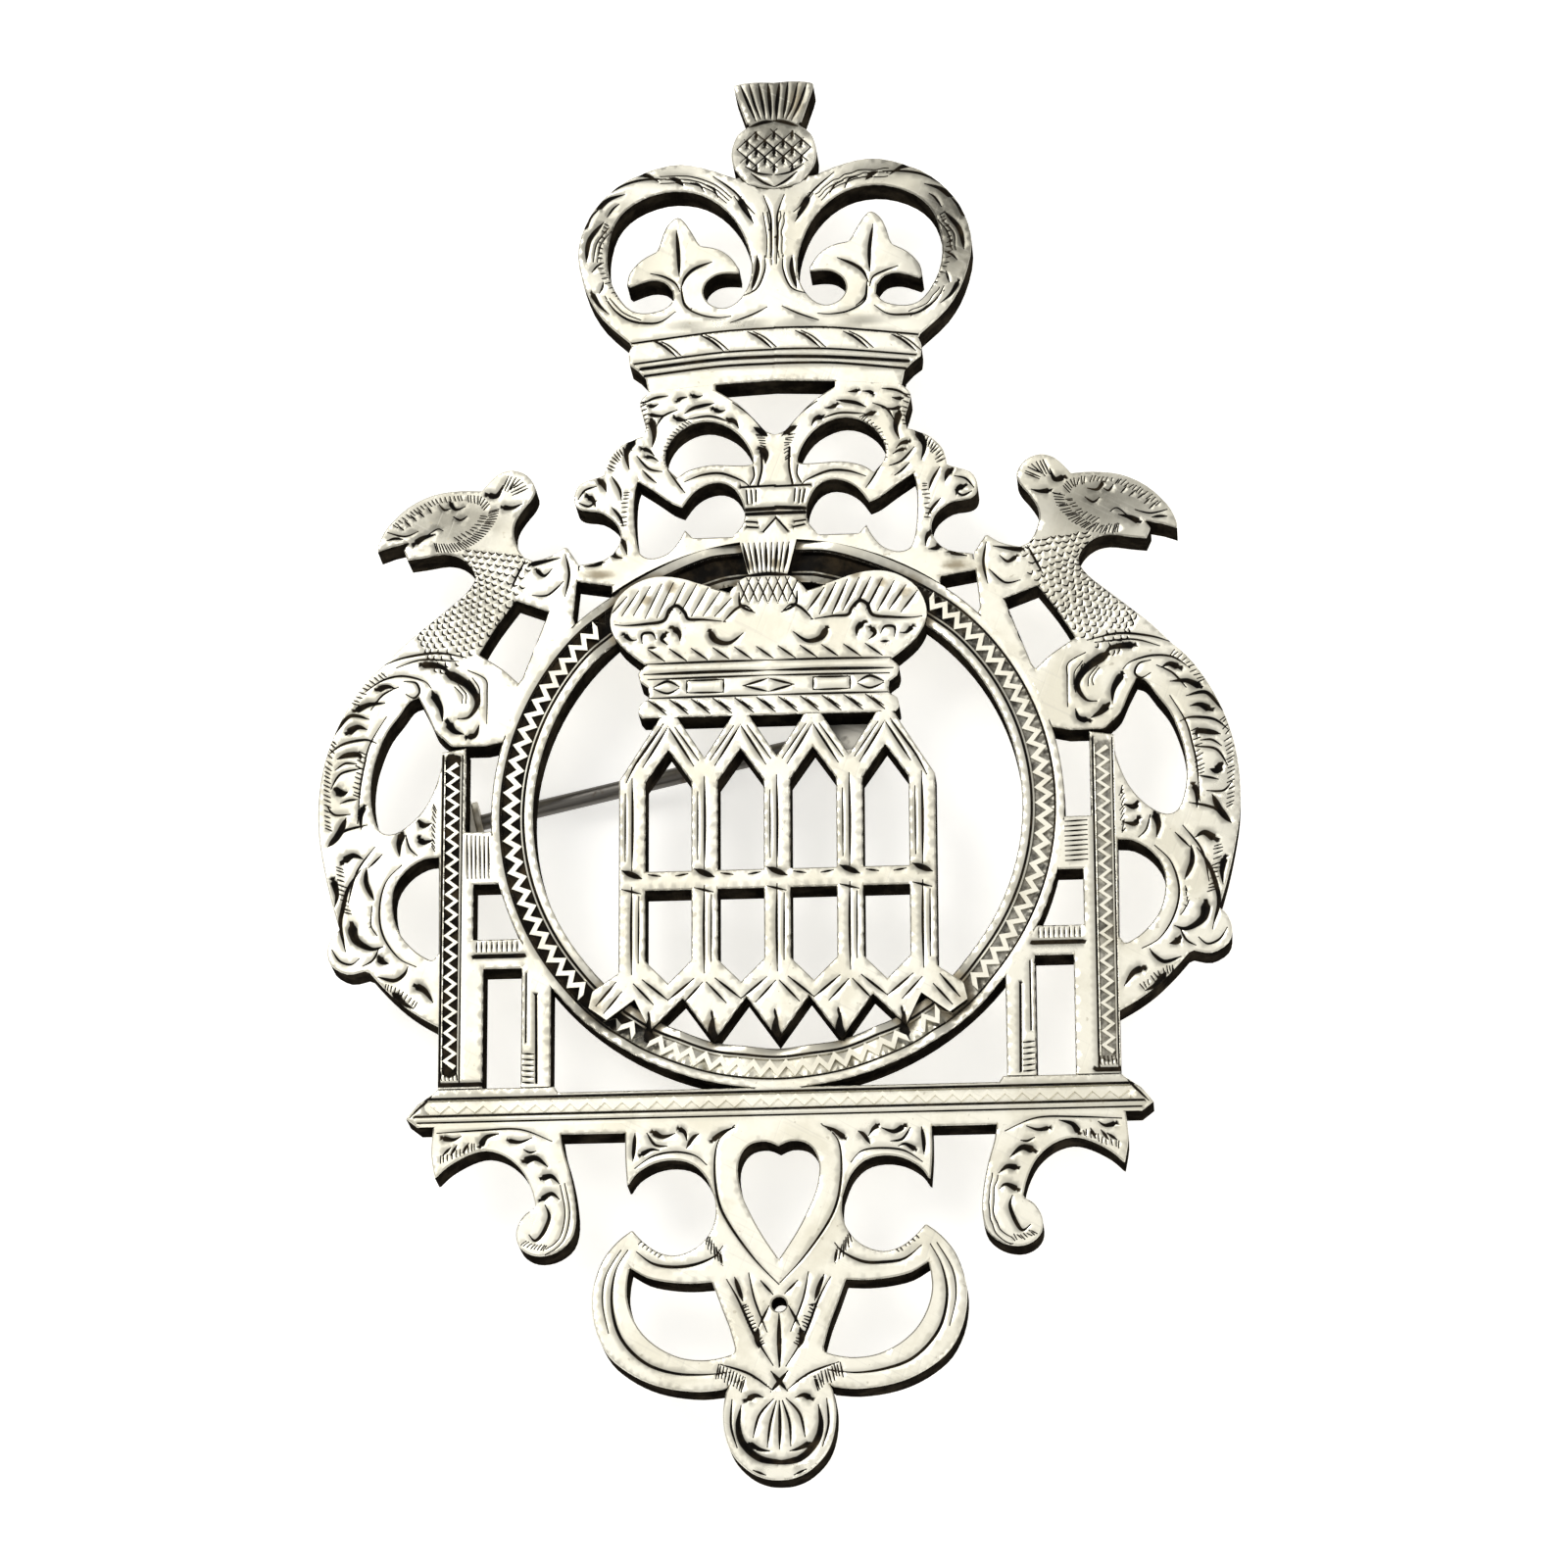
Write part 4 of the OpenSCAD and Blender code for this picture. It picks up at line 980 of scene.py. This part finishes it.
greys += [(s * 17.0, 13.6, 4.6, 2.6, 0.95) for s in (-1, 1)] + [(s * 15.6, 9.2, 2.6, 3.0, 0.5) for s in (-1, 1)]
greys += [(s * 23.0, -1, 1.0, 4.5, 0.35) for s in (-1, 1)] + [(-6.0, 9.2, 2.0, 1.0, 0.25)]
stains += [(s * 10.7, 10.0, 0.6, 1.4, 0.5) for s in (-1, 1)]
print("middle cuts laid out:", len(cuts))

# pillars and base bar

pillars = {"x": -16.62, "channelW": 0.78, "top": 0.55, "low": -15.75, "depth": 0.13}
for s in (-1, 1):
    x = -pillars["x"] * s
    channel([(x, pillars["top"]), (x, pillars["low"])], pillars["channelW"], pillars["depth"],
            0.85 if s < 0 else 0.22, only=["left_pillar", "right_pillar"])
    engrave([(0.12, [(x - 0.5, 0.9), (x - 0.5, -16.5)]), (0.09, [(x + 0.5, 0.9), (x + 0.5, -16.5)]),
             (0.25, [(x - 0.6, -16.55), (x + 1.6, -16.55)]), (0.25, [(s * 15.4, -9.85), (s * 12.9, -9.85)])],
             "blunt", bothSides=False)
    engrave([(0.08, [(x - 0.45 + k * 0.2, -15.85), (x - 0.4 + k * 0.2, -16.3)]) for k in range(5)],
            bothSides=False)
    engrave([(0.09, [(s * (15.3 - k * 0.26), -9.1), (s * (15.3 - k * 0.26), -9.6)]) for k in range(9)],
            bothSides=False)
    engrave([(0.1, [(s * 12.9, -15.0 - k * 0.3), (s * 12.35, -15.05 - k * 0.3)]) for k in range(6)],
            bothSides=False)
    engrave([(0.14, [(s * 12.25, -12), (s * 12.2, -16.5)]), (0.1, [(s * 12.75, -10.8), (s * 12.75, -14.4)])],
            "blunt", bothSides=False)
# the left block is filled with upright cuts and the right one with level cuts
engrave([(0.09, [(-15.85 + k * 0.22, -3.4 - 0.02 * k), (-15.8 + k * 0.22, -5.7)]) for k in range(6)],
        bothSides=False)
engrave([(0.09, [(15.75, -3.45 - k * 0.26), (14.65, -3.5 - k * 0.26)]) for k in range(9)], bothSides=False)
engrave([(0.18, [(-15.4, -6.3), (-15.35, -8.7)]), (0.14, [(15.35, -6.3), (15.4, -8.7)])], bothSides=False)
stains += [(s * 16.7, y, 0.6, 1.4, 0.34) for s in (-1, 1) for y in (-1.5, -8, -14)]

bar = {"y": -17.72, "channelW": 0.72, "end": 17.6, "depth": 0.12}
channel([(-bar["end"], bar["y"]), (0, bar["y"]), (bar["end"], bar["y"])], bar["channelW"], bar["depth"], 0.06,
        only=["base_bar"])
engrave([(0.14, [(-18.0, -17.27), (18.0, -17.27)]), (0.13, [(-18.3, -18.17), (18.3, -18.17)]),
         (0.1, [(-18.2, -18.5), (18.2, -18.5)])], "blunt", bothSides=False)
engrave([(0.12, [(-18.6, -18.2), (-18.0, -17.6), (-17.5, -17.1)])])
stains += [(-12 + 6 * k, -17.75, 2.2, 0.3, 0.25) for k in range(5)]

# leaf scrolls under the bar

leafScrolls = {
    "lines": [(0.15, [(-16.9, -20.2), (-16.5, -19.8)]), (0.15, [(-16.5, -20.2), (-16.2, -19.7)]),
              (0.15, [(-15.9, -20.1), (-15.6, -19.6)]),
              (0.2, [(-11.7, -22.9), (-11.5, -23.5), (-11.8, -24.3), (-12.2, -24.7), (-12.5, -24.4)]),
              (0.1, [(-17.2, -19.05), (-15, -18.95), (-13, -18.95), (-11.4, -19.6)]),
              (0.12, [(-12.8, -20), (-12.5, -20.15), (-12.2, -20.1)])],
    "commas": [(0.3, [(-15, -19.75), (-14.7, -19.3), (-14.1, -19.15)]),
               (0.22, [(-13.6, -19.5), (-13.0, -19.6), (-12.4, -19.4)]),
               (0.36, [(-12.8, -20.6), (-12.2, -20.45), (-11.6, -20.9)]),
               (0.28, [(-11.9, -22.6), (-11.4, -22.3), (-11, -22.6)]),
               (0.3, [(-11.9, -21.5), (-11.4, -21.4), (-11.0, -21.8)]),
               (0.26, [(-16.9, -19.3), (-16.4, -19.4), (-16.0, -19.25)])],
}
engrave(leafScrolls["lines"])
engrave(leafScrolls["commas"], "comma")
parallels([[(-11.2, -21.9), (-10.95, -23.3), (-11.2, -24.5), (-11.9, -25.0)]], 0.24, 2, 0.07)
hatch([(-12.9, -24.9), (-12.4, -25.1), (-11.8, -25.2)], 0.3, 0.2, 0.06, 60)
hatch([(-17.0, -20.6), (-16.2, -20.3), (-15.3, -19.95)], 0.35, 0.24, 0.07, 70)
stains += [(s * 11.6, -24.6, 1.0, 0.7, 0.25) for s in (-1, 1)]

# heart, crescent, shield and drop

heart = {
    "lines": [(0.2, [(-7.2, -19.3), (-7.25, -20), (-7.3, -20.7)]),
              (0.11, [(-7.2, -21.1), (-6.3, -20.5), (-5.2, -20.3), (-4.2, -20.5), (-3.6, -21)]),
              (0.2, [(-4.6, -20.1), (-4.3, -19.6), (-4, -19.4)]),
              (0.13, [(-2.2, -19), (-3, -19.8), (-3.2, -21.2), (-3, -22.9), (-2.4, -24.2), (-1.2, -25.9),
                      (0, -27.2)]),
              (0.14, [(-6.6, -19.3), (-6.2, -19.9), (-5.6, -20.0)])],
    "commas": [(0.26, [(-3.3, -19.75), (-2.8, -19.35), (-2.2, -19.1)]),
               (0.28, [(-6.3, -19.25), (-5.8, -19.5), (-5.2, -19.35)]),
               (0.24, [(-5.0, -19.1), (-4.7, -19.3), (-4.6, -19.7)]),
               (0.24, [(-6.9, -20.4), (-6.4, -20.15), (-6.0, -20.2)])],
}
crescent = {
    "lines": [(0.16, [(-7.1, -25.4), (-6.3, -26), (-5.3, -26.2), (-4.2, -26.1), (-3.2, -25.7), (-2.8, -25.2)]),
              (0.16, [(-7.55, -25.3), (-8.15, -26.35), (-8.35, -27.8), (-8.1, -29.25), (-7.5, -30.3),
                      (-6.5, -31.15), (-5.2, -31.6), (-3.8, -31.7), (-2.4, -31.6)]),
              (0.08, [(-7.9, -25.3), (-8.65, -26.6), (-8.8, -28.0), (-8.5, -29.5)])],
    "shield": [(0.13, [(-2.6, -26.9), (-2, -28), (-1.2, -29.8), (-0.3, -31.3)]),
               (0.22, [(-2.2, -26.8), (-2, -27.4), (-1.8, -28)]),
               (0.26, [(-1.05, -29.4), (-1.1, -29.9), (-1.0, -30.4)]),
               (0.13, [(0, -28.7), (-0.05, -30.0), (0, -31.4)]),
               (0.13, [(-0.5, -28.3), (-1.0, -29.3)]), (0.2, [(-0.4, -31.6), (0.4, -32.6)]),
               (0.1, [(-1.5, -26.6), (-1.2, -28.0), (-0.6, -29.6)]),
               (0.12, [(-0.3, -27.7), (-0.9, -27.0)]), (0.12, [(-2.9, -31.2), (-1.5, -31.7), (-0.4, -32.5)])],
}
engrave(heart["lines"] + crescent["lines"] + crescent["shield"])
engrave(heart["commas"], "comma")
hatch([(-3.6, -24.2), (-3.35, -24.9), (-2.9, -25.5)], 0.7, 0.2, 0.09, -30)
hatch([(-3.0, -31.2), (-2.4, -31.5), (-1.7, -31.9)], 0.7, 0.2, 0.09, -75)
hatch([(-1.9, -28.3), (-1.5, -29.3), (-1.0, -30.3)], 0.35, 0.2, 0.08, 90)
hatch([(-7.0, -25.0), (-6.0, -25.7)], 0.3, 0.25, 0.07, 80)

drop = {
    "lines": [(0.34, [(-1.9, -33.3), (-2.05, -34.3), (-1.8, -35.2), (-1.0, -35.95), (0, -36.15), (0.6, -36.1)]),
              (0.12, [(-1.3, -36.55), (-0.7, -36.8)]),
              (0.13, [(-0.3, -33.0), (-1.0, -33.8), (-1.3, -34.9)]),
              (0.13, [(-0.15, -33.1), (-0.45, -34.2), (-0.6, -35.4)]),
              (0.12, [(-2.35, -33.0), (-2.4, -34.3), (-2.1, -35.4)])],
    "commas": [(0.3, [(-1.6, -33.0), (-1.2, -32.8), (-0.8, -32.9)]),
               (0.26, [(-1.5, -35.2), (-1.0, -35.5), (-0.5, -35.6)])],
}
engrave(drop["lines"])
engrave(drop["commas"], "comma")
engrave([(0.16, [(0, -33.1), (0.02, -34.3), (0, -35.5)])], bothSides=False)
stains += [(-0.6, -34.6, 1.2, 1.0, 0.4), (0.9, -35.0, 0.8, 0.8, 0.3)]
print("lower cuts laid out:", len(cuts))


# bright zigzags left standing in the channels

def zigzagTree():
    tree = bpy.data.node_groups.new("zigzagRibbon", "GeometryNodeTree")
    tree.interface.new_socket("Geometry", in_out="INPUT", socket_type="NodeSocketGeometry")
    for label, kind in (("Points", "NodeSocketInt"), ("Swing", "NodeSocketFloat"), ("Width", "NodeSocketFloat"),
                        ("Height", "NodeSocketFloat"), ("Seed", "NodeSocketInt"),
                        ("Finish", "NodeSocketMaterial")):
        tree.interface.new_socket(label, in_out="INPUT", socket_type=kind)
    tree.interface.new_socket("Geometry", in_out="OUTPUT", socket_type="NodeSocketGeometry")

    def node(kind, settings, values):
        made = tree.nodes.new(kind)
        for key, value in settings.items():
            setattr(made, key, value)
        for key, value in values.items():
            if isinstance(value, bpy.types.NodeSocket):
                tree.links.new(value, made.inputs[key])
            else:
                made.inputs[key].default_value = value
        return made

    given = tree.nodes.new("NodeGroupInput").outputs
    even = node("GeometryNodeResampleCurve", {}, {"Curve": given["Geometry"], "Count": given["Points"]})
    index = node("GeometryNodeInputIndex", {}, {}).outputs[0]
    odd = node("ShaderNodeMath", {"operation": "MODULO"}, {0: index, 1: 2.0}).outputs[0]
    sign = node("ShaderNodeMath", {"operation": "MULTIPLY_ADD"}, {0: odd, 1: 2.0, 2: -1.0}).outputs[0]
    wobble = node("FunctionNodeRandomValue", {"data_type": "FLOAT"}, {"Seed": given["Seed"]})
    wobble.inputs[2].default_value, wobble.inputs[3].default_value = 0.86, 1.06
    swing = node("ShaderNodeMath", {"operation": "MULTIPLY"}, {0: sign, 1: given["Swing"]}).outputs[0]
    swing = node("ShaderNodeMath", {"operation": "MULTIPLY"}, {0: swing, 1: wobble.outputs[1]}).outputs[0]
    along = node("GeometryNodeInputTangent", {}, {}).outputs[0]
    across = node("ShaderNodeVectorMath", {"operation": "CROSS_PRODUCT"}, {0: along, 1: (0, 0, 1)}).outputs[0]
    offset = node("ShaderNodeVectorMath", {"operation": "SCALE"}, {0: across, "Scale": swing}).outputs[0]
    moved = node("GeometryNodeSetPosition", {}, {"Geometry": even.outputs[0], "Offset": offset})
    level = node("GeometryNodeSetCurveNormal", {"mode": "Z_UP"}, {"Curve": moved.outputs[0]})
    section = node("GeometryNodeCurvePrimitiveQuadrilateral", {},
                   {"Width": given["Width"], "Height": given["Height"]})
    ribbon = node("GeometryNodeCurveToMesh", {},
                  {"Curve": level.outputs[0], "Profile Curve": section.outputs[0], "Fill Caps": True})
    real = node("GeometryNodeRealizeInstances", {}, {"Geometry": ribbon.outputs[0]})
    finish = node("GeometryNodeSetMaterial", {}, {"Geometry": real.outputs[0], "Material": given["Finish"]})
    out = tree.nodes.new("NodeGroupOutput")
    tree.links.new(finish.outputs[0], out.inputs[0])
    return tree


ribbonTree = zigzagTree()


def zigzag(points, count, swing, width, depth, seed, closed=False):
    curve = bpy.data.curves.new("zigzagPath", "CURVE")
    curve.dimensions = "3D"
    spline = curve.splines.new("POLY")
    spline.points.add(len(points) - 1)
    z = (plate["top"] - 0.012 - depth / 2) * mm
    for point, (x, y) in zip(spline.points, points):
        point.co = (x * mm, (y + drawingY) * mm, z, 1)
    spline.use_cyclic_u = closed
    holder = bpy.data.objects.new("zigzagPath", curve)
    bpy.context.scene.collection.objects.link(holder)
    modifier = holder.modifiers.new("zigzag", "NODES")
    modifier.node_group = ribbonTree
    wanted = {"Points": count, "Swing": swing * mm, "Width": width * mm, "Height": (depth + 0.02) * mm,
              "Seed": seed, "Finish": silver}
    for item in ribbonTree.interface.items_tree:
        if item.item_type == "SOCKET" and item.in_out == "INPUT" and item.name in wanted:
            modifier[item.identifier] = wanted[item.name]
    bpy.context.view_layer.update()
    mesh = bpy.data.meshes.new_from_object(holder.evaluated_get(bpy.context.evaluated_depsgraph_get()))
    bpy.data.objects.remove(holder)
    return mesh


zigzags = {    # corners, swing and width in mm
    "ring": (204, 0.28, 0.4),
    "pillar": (45, 0.25, 0.25),
    "bar": (81, 0.2, 0.24),
    "endGap": 0.1,
}
gap = zigzags["endGap"]
ringRibbon = zigzag(arc(ring["channelR"], 0, 360, 240)[:-1], *zigzags["ring"], ring["depth"], 3, closed=True)
pillarRibbons = [zigzag([(s * -pillars["x"], pillars["top"] - gap), (s * -pillars["x"], pillars["low"] + gap)],
                        *zigzags["pillar"], pillars["depth"], 5) for s in (-1, 1)]
barRibbon = zigzag([(gap - bar["end"], bar["y"]), (bar["end"] - gap, bar["y"])], *zigzags["bar"], bar["depth"],
                   9)
print("zigzags made:", len(ringRibbon.polygons), len(pillarRibbons[0].polygons), len(barRibbon.polygons))

titles = {
    "thistle_finial": "thistleFinial", "crown_arches": "crownArches", "crown_circlet": "crownCirclet",
    "neck_scrolls": "neckScrolls", "ring": "ringFrame", "small_crown": "smallCrown",
    "tracery_panel": "traceryPanel",
    "left_supporter": "leftSupporter", "right_supporter": "rightSupporter", "left_pillar": "leftPillar",
    "right_pillar": "rightPillar", "base_bar": "baseBar", "left_leaf_scroll": "leftLeafScroll",
    "right_leaf_scroll": "rightLeafScroll", "heart_frame": "heartFrame", "crescent_shield": "crescentShield",
    "drop_roundel": "dropRoundel",
}
ribbons = {"ring": ringRibbon, "left_pillar": pillarRibbons[0], "right_pillar": pillarRibbons[1],
           "base_bar": barRibbon}
for name, title in titles.items():
    buildPlate(name, title, ribbons.get(name))


# pin fittings

fittings = {
    "hinge_block": ("hingeBlock", "badge", fittingSilver, "fitting_silver", 0.05),
    "hinge_rivet": ("hingeRivet", "badge", pinSteel, "pin_steel", 0.04),
    "pin_stem": ("pinStem", "pin", pinSteel, "pin_steel", 0.0),
    "catch_body": ("catchBody", "badge", fittingSilver, "fitting_silver", 0.04),
    "catch_rotor": ("catchRotor", "rotor", fittingSilver, "fitting_silver", 0.03),
}
for name, (title, body, material, slotName, softening) in fittings.items():
    work = bmesh.new()
    work.from_mesh(nodes[name].data)
    bmesh.ops.remove_doubles(work, verts=work.verts, dist=1e-6)
    bmesh.ops.dissolve_limit(work, angle_limit=math.radians(1), verts=work.verts, edges=work.edges)
    if softening:
        sharp = [e for e in work.edges if len(e.link_faces) == 2 and e.calc_face_angle(0) > math.radians(40) and e.is_convex]
        bmesh.ops.bevel(work, geom=sharp, offset=softening * mm, segments=2, profile=0.5, affect="EDGES",
                        clamp_overlap=True)
    bmesh.ops.recalc_face_normals(work, faces=work.faces)
    mesh = bpy.data.meshes.new(title)
    work.to_mesh(mesh)
    work.free()
    mesh.materials.clear()
    mesh.materials.append(material)
    mesh.polygons.foreach_set("use_smooth", np.ones(len(mesh.polygons), bool))
    softenByAngle(mesh, 35)
    made = bpy.data.objects.new(title, mesh)
    bpy.context.scene.collection.objects.link(made)
    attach(made, body)
    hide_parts(name)
print("pin fittings made")


# floor, light and camera

floorMesh = bpy.data.meshes.new("paleFloor")
floorMesh.from_pydata([(-0.6, -0.6, 0), (0.6, -0.6, 0), (0.6, 0.6, 0), (-0.6, 0.6, 0)], [], [(0, 1, 2, 3)])
paleFloor = bpy.data.objects.new("paleFloor", floorMesh)
bpy.context.scene.collection.objects.link(paleFloor)
floorGraph = Graph("palePaper")
floorPlace = floorGraph.add("ShaderNodeTexCoord", {}, {}, "Object")
fibre = floorGraph.noise(floorPlace, 900.0, 4.0)
# the floor's glow is painted light that lifts the shadows on it
floorMesh.materials.append(floorGraph.finish(floorGraph.mix(fibre, rgb(0.90, 0.90, 0.89),
                           rgb(0.94, 0.94, 0.935)), 0.0, 0.75, glow=0.55))

world = bpy.data.worlds.new("studio")
bpy.context.scene.world = world
world.use_nodes = True
# the room is brightest overhead and falls off towards the walls
sky = world.node_tree
direction = sky.nodes.new("ShaderNodeTexCoord")
parts = sky.nodes.new("ShaderNodeSeparateXYZ")
ramp = sky.nodes.new("ShaderNodeMapRange")
sky.links.new(direction.outputs["Generated"], parts.inputs[0])
sky.links.new(parts.outputs["Z"], ramp.inputs["Value"])
for label, value in (("From Min", 0.80), ("From Max", 0.99), ("To Min", 0.62), ("To Max", 0.98)):
    ramp.inputs[label].default_value = value
sky.links.new(ramp.outputs["Result"], sky.nodes["Background"].inputs["Strength"])
sky.nodes["Background"].inputs["Color"].default_value = (1.0, 0.985, 0.955, 1)


def softLight(title, spot, target, size, power, tint=(1, 0.985, 0.95)):
    light = bpy.data.lights.new(title, "AREA")
    light.shape, light.size, light.energy, light.color = "DISK", size, power, tint
    made = bpy.data.objects.new(title, light)
    made.location = spot
    made.rotation_mode = "QUATERNION"
    made.rotation_quaternion = (Vector(target) - Vector(spot)).to_track_quat("-Z", "Y")
    bpy.context.scene.collection.objects.link(made)


softLight("key", (-0.26, 0.26, 0.46), (0, 0, 0), 0.36, 1.3)
softLight("fill", (0.34, -0.22, 0.40), (0, 0, 0), 0.30, 0.5)

cameraView = {"target": (0.3, -0.42, 5.0), "distance": 320.0, "side": 4.25, "lean": 18.0, "roll": -0.27,
              "lens": 144.0,
              "sensor": 36.0, "shift": (0.001, -0.0131)}
side, lean = math.radians(cameraView["side"]), math.radians(cameraView["lean"])
back = Vector((math.sin(side) * math.cos(lean), -math.sin(lean), math.cos(side) * math.cos(lean)))
cameraData = bpy.data.cameras.new("mainCamera")
cameraData.lens, cameraData.sensor_width = cameraView["lens"], cameraView["sensor"]
cameraData.shift_x, cameraData.shift_y = cameraView["shift"]
cameraData.clip_start, cameraData.clip_end = 0.01, 5.0
camera = bpy.data.objects.new("mainCamera", cameraData)
bpy.context.scene.collection.objects.link(camera)
camera.location = (Vector(cameraView["target"]) + back * cameraView["distance"]) * mm
camera.rotation_mode = "QUATERNION"
up = (Vector((0, 1, 0)) - back * back.y).normalized()
right = up.cross(back)
roll = math.radians(cameraView["roll"])
right, up = right * math.cos(roll) + up * math.sin(roll), up * math.cos(roll) - right * math.sin(roll)
camera.rotation_quaternion = Matrix((right, up, back)).transposed().to_quaternion()
bpy.context.scene.camera = camera
bpy.context.scene.view_settings.view_transform = "Standard"
